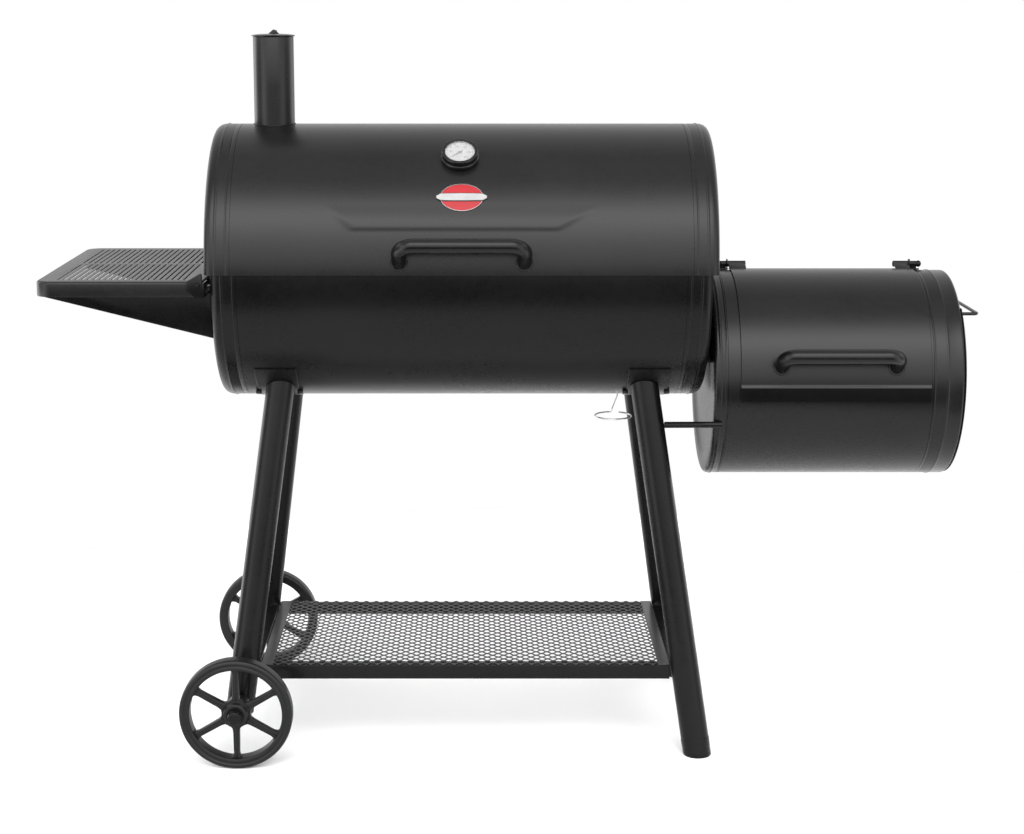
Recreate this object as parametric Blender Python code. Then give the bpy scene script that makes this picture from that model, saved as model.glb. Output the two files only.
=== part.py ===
"""Barrel charcoal grill with a side firebox, a side shelf and a wheeled stand.

Units are metres, +Z is up and -Y is the front. The origin is on the ground under the middle of
the grill's bounding box. Angles named *_angle are counted round a barrel's axis from its front,
upwards: 0 is the front, 90 the top, 180 the rear and 270 the bottom.
"""
import math

import bmesh
import bpy
from mathutils import Matrix, Vector

# Fits
GAP = 0.0003                 # between pieces that touch
SHEET = 0.0015               # steel sheet
BARREL_STEPS = 48            # facets round a full barrel
FIREBOX_STEPS = 36           # facets round the firebox

# Barrel and lid
BARREL_X = -0.09595
BARREL_Z = 0.8513
LID_RADIUS = 0.2424
BOWL_RADIUS = 0.2398
LID_HALF = 0.4324
BOWL_HALF = 0.4229
END_FLANGE = 0.044           # depth of the stamped ends
END_CORNER = 0.012           # corner radius of the stamped ends
LID_LIP_ANGLE = 0.7          # how far the lid reaches below the barrel's middle
DRAIN_X = 0.2692
DRAIN_RADIUS = 0.006

# Lid fittings
LID_HINGE_Y = 0.2544
LID_HINGE_X = 0.28
HANDLE_ANGLE = 11.6
HANDLE_LENGTH = 0.2352
HANDLE_AXIS_RADIUS = 0.2896
HANDLE_TUBE = 0.0127
GAUGE_X = -0.0032
GAUGE_ANGLE = 52.6
GAUGE_RADIUS = 0.034
GAUGE_STEM = 0.004
GAUGE_HEIGHT = 0.0170         # bezel rim above the lid
BADGE_ANGLE = 32.7
BADGE_SIZE = (0.073, 0.051)
BADGE_THICK = 0.0015
STACK_X = -0.3319
STACK_RADIUS = 0.0356
STACK_TOP = 1.2458
STACK_INSIDE = 0.018         # how far the stack reaches below the lid
CAP_RADIUS = 0.0380
CAP_PIVOT_Y = 0.0436

# Inside the barrel
LEDGE_Z = -0.030
GRATE_PITCH = 0.249
GRATE_WIDTH = 0.2475
GRATE_HALF_DEPTH = 0.2300
GRATE_THICK = 0.009
FIRE_GRATE_Z = -0.150
FIRE_GRATE_HALF = (0.360, 0.1838)

# Firebox
FIREBOX_Z = 0.6485
FIREBOX_RADIUS = 0.1832
FIREBOX_LEFT = 0.4352
FIREBOX_RIGHT = 0.8668
FIREBOX_FLANGE_LEFT = 0.0235
FIREBOX_FLANGE_RIGHT = 0.0543
FIREBOX_CORNER = 0.006
DOOR_RADIUS = 0.1860
DOOR_X = (0.4827, 0.8056)
DOOR_ANGLES = (-6.0, 97.0)
DOOR_LIP = 0.004
DOOR_OVERLAP = 0.015
MOUTH_ANGLES = (3.0, 88.5)
DOOR_HINGE_ANGLE = 101.0
DOOR_HINGE_RADIUS = 0.1947
DOOR_HANDLE_ANGLE = 16.5
DOOR_HANDLE_X = 0.6479
DOOR_HANDLE_LENGTH = 0.223
DOOR_HANDLE_RADIUS = 0.228
DOOR_KNUCKLES = ((0.4800, 0.5125), (0.7798, 0.8080))
DOOR_EARS = ((0.4640, 0.4792), (0.8088, 0.8240))
PORT_HALF = (0.085, 0.0575)  # half width and half height of the smoke port
PORT_Z = 0.7325

# Ash drawer and damper
DRAWER_OPENING = 0.1765
DRAWER_OPENING_TOP = 0.125
DRAWER_PLATE = 0.1815
DRAWER_PLATE_TOP = 0.133
PAN_RADIUS = 0.1750
PAN_ANGLES = (195.0, 345.0)
PAN_LEFT = 0.4550
PAN_GRATE_Z = -0.075
BAIL_Z = 0.118
BAIL_HALF = 0.085
BAIL_REACH = 0.0375
BAIL_WIRE = 0.0030
DAMPER_Z = -0.035
DAMPER_RADIUS = 0.052
DAMPER_HOLES = 3
DAMPER_SWING = 60.0

# Stand
LEG_RADIUS = 0.0245
LEG_WALL = 0.0015
LEG_STEPS = 16
LEG_REF_Z = 0.6115           # height at which the leg offsets are given
LEG_TOP_X = (-0.3223, 0.3239)
LEG_SLOPE_X = (-0.1317, 0.1488)
LEG_TOP_Y = 0.1304
LEG_SLOPE_Y = 0.1344
SADDLE_THICK = 0.003
SADDLE_WIDTH = 0.072
SADDLE_HALF_ANGLE = 45.0
FOOT_RADIUS = 0.0264
FOOT_HEIGHT = 0.030
FOOT_FLOOR = 0.004
RAIL_TOP = 0.1549
RAIL_SIZE = 0.0246
RAIL_WALL = 0.002
RAIL_Y = 0.1892
SHELF_MESH_X = (-0.355, 0.366)
SHELF_MESH_THICK = 0.002

# Wheels
WHEEL_X = -0.3903
WHEEL_Y = 0.2717
WHEEL_RADIUS = 0.098
WHEEL_WIDTH = 0.028
WHEEL_RIM = 0.018
HUB_RADIUS = 0.0215
HUB_REACH = (0.232, 0.291)
SPOKES = 6
AXLE_RADIUS = 0.0063
AXLE_HALF = 0.2975
AXLE_CAP_END = 0.304

# Side shelf
TRAY_X = (-0.7174, -0.4346)
TRAY_TOP = 0.8441
TRAY_DEPTH = 0.0259
TRAY_HALF = 0.2384
TRAY_CORNER = 0.028
TRAY_SLOTS = 22
GUSSET_Y = 0.195
GUSSET_TIP_Z = 0.8147
GUSSET_ROOT_Z = 0.7425
BRACKET_Y = 0.2417            # outside of the corner brackets

# Grease can hanger and brace
HANGER_X = 0.2805
HANGER_RING_X = 0.2736
HANGER_WIRE = 0.0015
HANGER_RING = 0.0330
HANGER_Z = 0.5660
BRACE_RADIUS = 0.0055
BRACE_Z = 0.5800


# ---------------------------------------------------------------- scene and materials

def clear_scene():
    for old in list(bpy.data.objects):
        bpy.data.objects.remove(old, do_unlink=True)


def make_material(name, colour, roughness, metallic):
    mat = bpy.data.materials.new(name)
    mat.use_nodes = True
    shader = mat.node_tree.nodes["Principled BSDF"]
    shader.inputs["Base Color"].default_value = (*colour, 1.0)
    shader.inputs["Roughness"].default_value = roughness
    shader.inputs["Metallic"].default_value = metallic
    mat.diffuse_color = (*colour, 1.0)
    return mat


def make_pivot(name, at):
    pivot = bpy.data.objects.new(name, None)
    pivot.location = at
    bpy.context.collection.objects.link(pivot)
    return pivot


def add_part(name, bm, mat, pivot, at=(0.0, 0.0, 0.0), rotation=None):
    """Turn a bmesh into an object on a pivot. `at` is counted from the pivot."""
    bmesh.ops.recalc_face_normals(bm, faces=bm.faces)
    mesh = bpy.data.meshes.new(name)
    bm.to_mesh(mesh)
    bm.free()
    return add_mesh(name, mesh, mat, pivot, at, rotation)


def add_mesh(name, mesh, mat, pivot, at=(0.0, 0.0, 0.0), rotation=None):
    if not mesh.materials:
        mesh.materials.append(mat)
    mesh.shade_smooth()
    mesh.set_sharp_from_angle(angle=math.radians(30.0))
    part = bpy.data.objects.new(name, mesh)
    bpy.context.collection.objects.link(part)
    part.parent = pivot
    part.location = at
    if rotation is not None:
        part.rotation_euler = rotation
    return part


def combine(part, tool_bm, operation):
    """Apply a Boolean whose tool is given in the part's own coordinates."""
    bmesh.ops.recalc_face_normals(tool_bm, faces=tool_bm.faces)
    tool_mesh = bpy.data.meshes.new("tool")
    tool_bm.to_mesh(tool_mesh)
    tool_bm.free()
    tool = bpy.data.objects.new("tool", tool_mesh)
    bpy.context.collection.objects.link(tool)
    tool.parent = part
    modifier = part.modifiers.new("combine", "BOOLEAN")
    modifier.operation = operation
    modifier.solver = "EXACT"
    modifier.object = tool
    bpy.context.view_layer.update()
    graph = bpy.context.evaluated_depsgraph_get()
    result = bpy.data.meshes.new_from_object(part.evaluated_get(graph))
    part.modifiers.clear()
    old = part.data
    part.data = result
    result.name = old.name
    bpy.data.meshes.remove(old)
    bpy.data.objects.remove(tool, do_unlink=True)
    bpy.data.meshes.remove(tool_mesh)
    result.shade_smooth()
    result.set_sharp_from_angle(angle=math.radians(30.0))


# ---------------------------------------------------------------- shapes

def polar(radius, angle):
    """Point (y, z) at an angle counted from the front, upwards."""
    turn = math.radians(angle)
    return -radius * math.cos(turn), radius * math.sin(turn)


def sweep(profile, start, stop, steps):
    """Turn a closed (x, r) profile round the X axis; r = 0 points stay on the axis."""
    bm = bmesh.new()
    full = abs(stop - start - 360.0) < 1e-6
    rings = []
    axis_points = {}
    for step in range(steps if full else steps + 1):
        angle = start + (stop - start) * step / steps
        ring = []
        for index, (x, radius) in enumerate(profile):
            if radius == 0.0:
                if index not in axis_points:
                    axis_points[index] = bm.verts.new((x, 0.0, 0.0))
                ring.append(axis_points[index])
            else:
                y, z = polar(radius, angle)
                ring.append(bm.verts.new((x, y, z)))
        rings.append(ring)
    pairs = list(zip(rings, rings[1:]))
    if full:
        pairs.append((rings[-1], rings[0]))
    for first, second in pairs:
        for index in range(len(profile)):
            after = (index + 1) % len(profile)
            corners = [first[index], first[after], second[after], second[index]]
            face = list(dict.fromkeys(corners))
            if len(face) > 2:
                bm.faces.new(face)
    if not full:
        bm.faces.new(rings[0])
        bm.faces.new(rings[-1])
    return bm


def arc_steps(degrees):
    return max(2, round(BARREL_STEPS * degrees / 360.0))


def sheet_ring(x0, x1, outer, steps):
    """A full cylinder of sheet."""
    inner = outer - SHEET
    return sweep([(x0, inner), (x1, inner), (x1, outer), (x0, outer)], 0.0, 360.0, steps)


def curved_sheet(x0, x1, outer, thickness, start, stop):
    inner = outer - thickness
    profile = [(x0, inner), (x1, inner), (x1, outer), (x0, outer)]
    return sweep(profile, start, stop, arc_steps(stop - start))


def stamped_end(outer_x, flange_x, radius, corner, start, stop, steps):
    """A pressed end: flat disc, rounded corner and flange. outer_x is its flat outside."""
    side = 1.0 if outer_x > flange_x else -1.0
    centre_x = outer_x - side * corner
    centre_r = radius - corner
    outside = []
    inside = []
    for step in range(3):
        turn = math.radians(90.0 * step / 2)
        reach = side * math.cos(turn)
        rise = math.sin(turn)
        outside.append((centre_x + corner * reach, centre_r + corner * rise))
        inside.append((centre_x + (corner - SHEET) * reach, centre_r + (corner - SHEET) * rise))
    profile = [(outer_x - side * SHEET, 0.0), (outer_x, 0.0)]
    profile += outside + [(flange_x, radius), (flange_x, radius - SHEET)]
    profile += list(reversed(inside))
    return sweep(profile, start, stop, steps)


def prism(outline, low, high, axis="X"):
    """Extrude a closed outline. X: points are (y, z). Y: (x, z). Z: (x, y)."""
    place = {
        "X": lambda a, b, h: (h, a, b),
        "Y": lambda a, b, h: (a, h, b),
        "Z": lambda a, b, h: (a, b, h),
    }[axis]
    bm = bmesh.new()
    bottom = [bm.verts.new(place(a, b, low)) for a, b in outline]
    top = [bm.verts.new(place(a, b, high)) for a, b in outline]
    bm.faces.new(bottom)
    bm.faces.new(list(reversed(top)))
    for index in range(len(outline)):
        after = (index + 1) % len(outline)
        bm.faces.new((bottom[index], top[index], top[after], bottom[after]))
    return bm


def box(x, y, z):
    return prism([(x[0], y[0]), (x[1], y[0]), (x[1], y[1]), (x[0], y[1])], z[0], z[1], "Z")


def circle(centre, radius, count, phase=0.0):
    return [(centre[0] + radius * math.cos(2 * math.pi * k / count + phase),
             centre[1] + radius * math.sin(2 * math.pi * k / count + phase))
            for k in range(count)]


def rounded_rectangle(centre, half, radius, corner_steps):
    points = []
    for quarter, (sx, sy) in enumerate(((1, 1), (-1, 1), (-1, -1), (1, -1))):
        cx = centre[0] + sx * (half[0] - radius)
        cy = centre[1] + sy * (half[1] - radius)
        for step in range(corner_steps + 1):
            turn = math.radians(90.0 * (quarter + step / corner_steps))
            points.append((cx + radius * math.cos(turn), cy + radius * math.sin(turn)))
    return points


def clipped_disc(radius, top, count):
    """Disc outline in (y, z) with its top cut flat at height `top`."""
    edge = math.asin(top / radius)
    span = 2 * math.pi - (math.pi - 2 * edge)
    start = math.pi - edge
    return [(radius * math.cos(start + span * k / count), radius * math.sin(start + span * k / count))
            for k in range(count + 1)]


def lathe(profile, steps):
    """Turn a (r, z) outline round the Z axis. It starts and ends on the axis or closes off it."""
    bm = sweep([(z, radius) for radius, z in profile], 0.0, 360.0, steps)
    bm.transform(Matrix(((0, 1, 0, 0), (0, 0, 1, 0), (1, 0, 0, 0), (0, 0, 0, 1))))
    return bm


def tube_along(points, radius, sides):
    """A round bar with flat ends along a list of points."""
    bm = bmesh.new()
    path = [Vector(point) for point in points]
    tangents = []
    for index in range(len(path)):
        before = path[max(index - 1, 0)]
        after = path[min(index + 1, len(path) - 1)]
        tangents.append((after - before).normalized())
    normal = tangents[0].orthogonal().normalized()
    rings = []
    for point, tangent in zip(path, tangents):
        normal = (normal - tangent * normal.dot(tangent)).normalized()
        side = tangent.cross(normal)
        rings.append([bm.verts.new(point + radius * (normal * math.cos(a) + side * math.sin(a)))
                      for a in (2 * math.pi * k / sides for k in range(sides))])
    for first, second in zip(rings, rings[1:]):
        for index in range(sides):
            after = (index + 1) % sides
            bm.faces.new((first[index], first[after], second[after], second[index]))
    bm.faces.new(rings[0])
    bm.faces.new(rings[-1])
    return bm


def fillet_path(corners, radius, steps):
    """Round off the inner corners of a polyline."""
    points = [Vector(corners[0])]
    for before, corner, after in zip(corners, corners[1:], corners[2:]):
        corner = Vector(corner)
        back = (Vector(before) - corner).normalized()
        ahead = (Vector(after) - corner).normalized()
        half_angle = back.angle(ahead) / 2
        reach = radius / math.tan(half_angle)
        centre = corner + (back + ahead).normalized() * (radius / math.sin(half_angle))
        first = corner + back * reach - centre
        last = corner + ahead * reach - centre
        for step in range(steps + 1):
            points.append(centre + radius * first.slerp(last, step / steps).normalized())
    points.append(Vector(corners[-1]))
    return points


def slotted_plate(half_x, half_y, margin, slots_x, slots_y, bar, thickness):
    """A flat grate: a frame, bars between the slots, its bottom at z = 0."""
    def edges(half, slots):
        opening = (2 * (half - margin) - bar * (slots - 1)) / slots
        lines = [-half]
        at = -half + margin
        for _ in range(slots):
            lines += [at, at + opening]
            at += opening + bar
        return lines + [half]
    xs = edges(half_x, slots_x)
    ys = edges(half_y, slots_y)
    bm = bmesh.new()
    grid = [[bm.verts.new((x, y, 0.0)) for y in ys] for x in xs]
    for i in range(len(xs) - 1):
        for j in range(len(ys) - 1):
            if i % 2 == 1 and j % 2 == 1:
                continue
            bm.faces.new((grid[i][j], grid[i + 1][j], grid[i + 1][j + 1], grid[i][j + 1]))
    raised = bmesh.ops.extrude_face_region(bm, geom=bm.faces[:] + bm.edges[:] + bm.verts[:])
    moved = [item for item in raised["geom"] if isinstance(item, bmesh.types.BMVert)]
    bmesh.ops.translate(bm, verts=moved, vec=(0.0, 0.0, thickness))
    return bm


def bent_handle(length, foot_radius, axis_radius, angle, centre_x):
    """A tube handle: two feet standing radially on a barrel, joined by a straight grip."""
    half = length / 2 - HANDLE_TUBE
    corners = [(centre_x - half, foot_radius), (centre_x - half, axis_radius),
               (centre_x + half, axis_radius), (centre_x + half, foot_radius)]
    y, z = polar(1.0, angle)
    points = [(x, y * radius, z * radius) for x, radius in corners]
    return tube_along(fillet_path(points, 0.026, 4), HANDLE_TUBE, 12)


# ---------------------------------------------------------------- barrel

def build_bowl(pivot, black, iron):
    half = BOWL_HALF - END_FLANGE
    shell = add_part("bowl_shell",
                     curved_sheet(-half + GAP, half - GAP, BOWL_RADIUS, SHEET, 180.0, 360.0),
                     black, pivot)
    combine(shell, prism(circle((DRAIN_X, 0.0), DRAIN_RADIUS, 12), -0.3, -0.2, "Z"), "DIFFERENCE")
    steps = arc_steps(180.0)
    add_part("bowl_end_left",
             stamped_end(-BOWL_HALF, -half, BOWL_RADIUS, END_CORNER, 180.0, 360.0, steps),
             black, pivot)
    right = add_part("bowl_end_right",
                     stamped_end(BOWL_HALF, half, BOWL_RADIUS, END_CORNER, 180.0, 360.0, steps),
                     black, pivot)
    port = rounded_rectangle((0.0, PORT_Z - BARREL_Z), PORT_HALF, 0.030, 4)
    combine(right, prism(port, BOWL_HALF - 0.02, BOWL_HALF + 0.02), "DIFFERENCE")

    for name, side in (("grate_ledge_front", -1.0), ("grate_ledge_rear", 1.0)):
        outline = [(side * 0.2320, LEDGE_Z), (side * 0.2130, LEDGE_Z),
                   (side * 0.2130, LEDGE_Z - 0.002), (side * 0.2300, LEDGE_Z - 0.002),
                   (side * 0.2300, LEDGE_Z - 0.020), (side * 0.2320, LEDGE_Z - 0.020)]
        add_part(name, prism(outline, -0.375, 0.375), black, pivot)

    for index in range(3):
        grate = slotted_plate(GRATE_WIDTH / 2, GRATE_HALF_DEPTH, 0.012, 7, 2, 0.010, GRATE_THICK)
        add_part(f"cooking_grate_{index + 1}", grate, iron, pivot,
                 at=((index - 1) * GRATE_PITCH, 0.0, LEDGE_Z + GAP))
    fire_grate = slotted_plate(*FIRE_GRATE_HALF, 0.012, 10, 1, 0.012, 0.004)
    add_part("charcoal_grate", fire_grate, iron, pivot, at=(0.0, 0.0, FIRE_GRATE_Z))


def build_grease_hanger(pivot, wire):
    top = -BOWL_RADIUS - 2 * GAP
    level = HANGER_Z - BARREL_Z
    points = [(HANGER_X, 0.0, top), (HANGER_X, 0.0, top - 0.008), (HANGER_RING_X, HANGER_RING, level + 0.006)]
    for step in range(20):
        turn = math.radians(90.0 + 17.5 * step)
        points.append((HANGER_RING_X + HANGER_RING * math.cos(turn), HANGER_RING * math.sin(turn), level))
    add_part("grease_can_hanger", tube_along(points, HANGER_WIRE, 6), wire, pivot)


def hinge_plate(radius, start, stop):
    """Small plate curved to lie on a barrel of the given radius."""
    inner = radius + 0.0008
    outer = inner + 0.0025
    return sweep([(-0.025, inner), (0.025, inner), (0.025, outer), (-0.025, outer)], start, stop, 2)


def build_lid_hinges(barrel, lid, lid_origin, black):
    """Each hinge: a bowl bracket with its knuckle and pin, and a lid leaf with two knuckles."""
    for name, x in (("left", -LID_HINGE_X), ("right", LID_HINGE_X)):
        bracket = add_part(f"lid_hinge_bracket_{name}", hinge_plate(BOWL_RADIUS, 182.5, 194.5),
                           black, barrel, at=(x, 0.0, 0.0))
        combine(bracket, box((-0.0088, 0.0088), (BOWL_RADIUS + 0.0022, LID_HINGE_Y + 0.003),
                             (-0.018, -0.004)), "UNION")
        pin = lathe([(0.0, -0.027), (0.0030, -0.027), (0.0030, -0.0088), (0.0068, -0.0088),
                     (0.0068, 0.0088), (0.0030, 0.0088), (0.0030, 0.027), (0.0, 0.027)], 12)
        pin.transform(Matrix.Translation((0.0, LID_HINGE_Y, 0.0)) @ Matrix.Rotation(math.pi / 2, 4, "Y"))
        combine(bracket, pin, "UNION")

        plate = hinge_plate(LID_RADIUS, 165.5, 177.5)
        plate.transform(Matrix.Translation(-lid_origin))
        leaf = add_part(f"lid_hinge_leaf_{name}", plate, black, lid, at=(x, 0.0, 0.0))
        for low, high in ((-0.0245, -0.0092), (0.0092, 0.0245)):
            web = box((low, high), (LID_RADIUS + 0.0018 - LID_HINGE_Y, 0.0), (0.0035, 0.016))
            combine(leaf, web, "UNION")
            knuckle = prism(circle((0.0, 0.0), 0.0068, 12), low, high)
            combine(leaf, knuckle, "UNION")
        combine(leaf, prism(circle((0.0, 0.0), 0.0034, 12, 0.1), -0.03, 0.03), "DIFFERENCE")


# ---------------------------------------------------------------- lid

def build_lid(pivot, to_axis, black, steel, red, white):
    """Lid pieces are drawn round the barrel's axis, `to_axis` from the lid's hinge."""
    half = LID_HALF - END_FLANGE
    low = -LID_LIP_ANGLE
    high = 180.0 + LID_LIP_ANGLE
    shell = add_part("lid_shell",
                     curved_sheet(-half + GAP, half - GAP, LID_RADIUS, SHEET, low, high),
                     black, pivot, at=to_axis)
    combine(shell, prism(circle((STACK_X, 0.0), STACK_RADIUS + 0.0006, 24), 0.15, 0.30, "Z"), "DIFFERENCE")
    gauge_turn = Matrix.Rotation(math.radians(90.0 - GAUGE_ANGLE), 4, "X")
    stem_hole = prism(circle((0.0, 0.0), GAUGE_STEM + 0.001, 12), 0.20, 0.30, "Z")
    stem_hole.transform(Matrix.Translation((GAUGE_X, 0.0, 0.0)) @ gauge_turn)
    combine(shell, stem_hole, "DIFFERENCE")

    steps = arc_steps(high - low)
    add_part("lid_end_left", stamped_end(-LID_HALF, -half, LID_RADIUS, END_CORNER, low, high, steps),
             black, pivot, at=to_axis)
    add_part("lid_end_right", stamped_end(LID_HALF, half, LID_RADIUS, END_CORNER, low, high, steps),
             black, pivot, at=to_axis)
    add_part("lid_handle",
             bent_handle(HANDLE_LENGTH, LID_RADIUS + 2 * GAP, HANDLE_AXIS_RADIUS, HANDLE_ANGLE, 0.0),
             black, pivot, at=to_axis)
    build_badge(pivot, to_axis, red)
    build_gauge(pivot, to_axis, black, steel, white)
    build_stack(pivot, to_axis, black)


def build_badge(pivot, to_axis, red):
    start = BADGE_ANGLE - 8.0
    inner = LID_RADIUS + GAP
    profile = [(-0.05, inner), (0.05, inner), (0.05, inner + BADGE_THICK), (-0.05, inner + BADGE_THICK)]
    badge = add_part("badge_plate", sweep(profile, start, start + 16.0, 10), red, pivot, at=to_axis)
    outline = [(BADGE_SIZE[0] / 2 * math.cos(a), BADGE_SIZE[1] / 2 * math.sin(a))
               for a in (2 * math.pi * k / 24 for k in range(24))]
    oval = prism(outline, 0.20, 0.30, "Z")
    oval.transform(Matrix.Rotation(math.radians(90.0 - BADGE_ANGLE), 4, "X"))
    combine(badge, oval, "INTERSECT")


def build_gauge(pivot, to_axis, black, steel, white):
    """Dial thermometer: its own Z axis runs out of the lid through the dial."""
    y, z = polar(LID_RADIUS + GAP, GAUGE_ANGLE)
    at = Vector(to_axis) + Vector((GAUGE_X, y, z))
    rotation = (math.radians(90.0 - GAUGE_ANGLE), 0.0, 0.0)
    top = GAUGE_HEIGHT
    housing = lathe([(0.0, -0.060), (GAUGE_STEM, -0.060), (GAUGE_STEM, 0.0), (GAUGE_RADIUS, 0.0),
                     (GAUGE_RADIUS, 0.006), (0.0320, top - 0.005), (0.0310, top), (0.0275, top),
                     (0.0270, top - 0.0055), (0.0, top - 0.0055)], 24)
    add_part("thermometer_housing", housing, black, pivot, at, rotation)
    low = top - 0.0052
    dial = lathe([(0.0, low), (0.0266, low), (0.0266, low + 0.0008), (0.0, low + 0.0008)], 24)
    add_part("thermometer_dial", dial, white, pivot, at, rotation)
    return at, rotation


def build_needle(pivot, black):
    """Needle and its hub, pointing at the low end of the scale, on the dial's own axis."""
    low = GAUGE_HEIGHT - 0.0040
    needle = add_part("thermometer_needle",
                      lathe([(0.0, low), (0.0028, low), (0.0028, low + 0.0015), (0.0, low + 0.0015)], 12),
                      black, pivot)
    pointer = prism([(-0.0005, 0.0), (-0.0013, -0.006), (0.0, -0.0195), (0.0013, -0.006), (0.0005, 0.0)],
                    low + 0.0002, low + 0.0010, "Z")
    pointer.transform(Matrix.Rotation(math.radians(-50.0), 4, "Z"))
    combine(needle, pointer, "UNION")


def build_stack(pivot, to_axis, black):
    top = STACK_TOP - BARREL_Z
    low = LID_RADIUS - STACK_INSIDE
    inner = STACK_RADIUS - SHEET
    stack = add_part("smokestack",
                     lathe([(inner, low), (STACK_RADIUS, low), (STACK_RADIUS, top), (inner, top)], 24),
                     black, pivot, at=Vector(to_axis) + Vector((STACK_X, 0.0, 0.0)))
    ear = box((-0.008, 0.008), (STACK_RADIUS - 0.001, CAP_PIVOT_Y + 0.006), (top - 0.0025, top - GAP / 2))
    combine(stack, ear, "UNION")
    bolt = prism(circle((0.0, CAP_PIVOT_Y), 0.0025, 12), top - 0.006, top + 0.0105, "Z")
    combine(stack, bolt, "UNION")


def build_stack_cap(pivot, black):
    """Domed flap with a pivot tab; its origin is on the pivot bolt, at the stack's top."""
    rise = 0.0032
    flap = lathe([(0.0, rise), (0.020, rise - 0.0008), (CAP_RADIUS, GAP), (CAP_RADIUS, GAP + SHEET),
                  (0.020, rise + 0.0007), (0.0, rise + SHEET)], 24)
    flap.transform(Matrix.Translation((0.0, -CAP_PIVOT_Y, 0.0)))
    cap = add_part("stack_cap", flap, black, pivot)
    combine(cap, prism(circle((0.0, 0.0), 0.0080, 14, 0.07), 0.0007, 0.0016, "Z"), "UNION")
    combine(cap, prism(circle((0.0, 0.0), 0.0029, 12, 0.13), -0.01, 0.01, "Z"), "DIFFERENCE")
    lift_tab = box((-0.006, 0.006), (-CAP_PIVOT_Y - 0.001, -CAP_PIVOT_Y + 0.001),
                   (rise + 0.0008, rise + 0.011))
    combine(cap, lift_tab, "UNION")


# ---------------------------------------------------------------- firebox

def build_firebox(pivot, black):
    """The firebox pieces are drawn round the firebox's own axis."""
    steps = FIREBOX_STEPS
    shell = add_part("firebox_shell",
                     sheet_ring(FIREBOX_LEFT + FIREBOX_FLANGE_LEFT + GAP,
                                FIREBOX_RIGHT - FIREBOX_FLANGE_RIGHT - GAP, FIREBOX_RADIUS, steps),
                     black, pivot)
    mouth = sweep([(DOOR_X[0] + DOOR_OVERLAP, 0.12), (DOOR_X[1] - DOOR_OVERLAP, 0.12),
                   (DOOR_X[1] - DOOR_OVERLAP, 0.25), (DOOR_X[0] + DOOR_OVERLAP, 0.25)],
                  *MOUTH_ANGLES, 9)
    combine(shell, mouth, "DIFFERENCE")

    left = add_part("firebox_end_left",
                    stamped_end(FIREBOX_LEFT, FIREBOX_LEFT + FIREBOX_FLANGE_LEFT, FIREBOX_RADIUS,
                                FIREBOX_CORNER, 0.0, 360.0, steps), black, pivot)
    port = (0.0, PORT_Z - FIREBOX_Z)
    collar = [PORT_HALF[0] + SHEET, PORT_HALF[1] + SHEET]
    combine(left, prism(rounded_rectangle(port, collar, 0.0315, 4), BOWL_HALF + GAP, FIREBOX_LEFT + 0.001),
            "UNION")
    combine(left, prism(rounded_rectangle(port, PORT_HALF, 0.030, 4), BOWL_HALF - 0.01, FIREBOX_LEFT + 0.01),
            "DIFFERENCE")

    right = add_part("firebox_end_right",
                     stamped_end(FIREBOX_RIGHT, FIREBOX_RIGHT - FIREBOX_FLANGE_RIGHT, FIREBOX_RADIUS,
                                 FIREBOX_CORNER, 0.0, 360.0, steps), black, pivot)
    combine(right, prism(clipped_disc(DRAWER_OPENING, DRAWER_OPENING_TOP, 32),
                         FIREBOX_RIGHT - 0.01, FIREBOX_RIGHT + 0.01), "DIFFERENCE")


def build_door_brackets(pivot, black):
    """Two ears on the firebox with the pins that the door's knuckles turn on."""
    hinge_y, hinge_z = polar(DOOR_HINGE_RADIUS, DOOR_HINGE_ANGLE)
    names = ("door_hinge_ear_left", "door_hinge_ear_right")
    for name, ear, knuckle, side in zip(names, DOOR_EARS, DOOR_KNUCKLES, (1.0, -1.0)):
        middle = (ear[0] + ear[1]) / 2
        half = (ear[1] - ear[0]) / 2
        pin_end = knuckle[1] - 0.001 if side > 0 else knuckle[0] + 0.001
        pad = sweep([(ear[0], FIREBOX_RADIUS + GAP), (ear[1], FIREBOX_RADIUS + GAP),
                     (ear[1], FIREBOX_RADIUS + 0.0030), (ear[0], FIREBOX_RADIUS + 0.0030)],
                    96.0, 112.0, 4)
        part = add_part(name, pad, black, pivot)
        web = box((middle - half + 0.0005, middle + half - 0.0005), (hinge_y - 0.004, hinge_y + 0.004),
                  (hinge_z - 0.0085, hinge_z))
        combine(part, web, "UNION")
        combine(part, prism(circle((hinge_y, hinge_z), 0.0052, 12), middle - half, middle + half), "UNION")
        low, high = sorted((middle, pin_end))
        combine(part, prism(circle((hinge_y, hinge_z), 0.0024, 10), low, high), "UNION")


def door_outline():
    """Section of the door in (y, z): the curved sheet and the lip folded out at its lower edge."""
    start, stop = DOOR_ANGLES
    steps = 11
    angles = [start + (stop - start) * k / steps for k in range(steps + 1)]
    outside = [polar(DOOR_RADIUS, angle) for angle in angles]
    inside = [polar(DOOR_RADIUS - SHEET, angle) for angle in reversed(angles)]
    lip_angle = start + 0.6
    lip = [polar(DOOR_RADIUS - SHEET, start), polar(DOOR_RADIUS + DOOR_LIP, start),
           polar(DOOR_RADIUS + DOOR_LIP, lip_angle)]
    return lip + [polar(DOOR_RADIUS, lip_angle)] + outside[1:] + inside[:-1]


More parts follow.
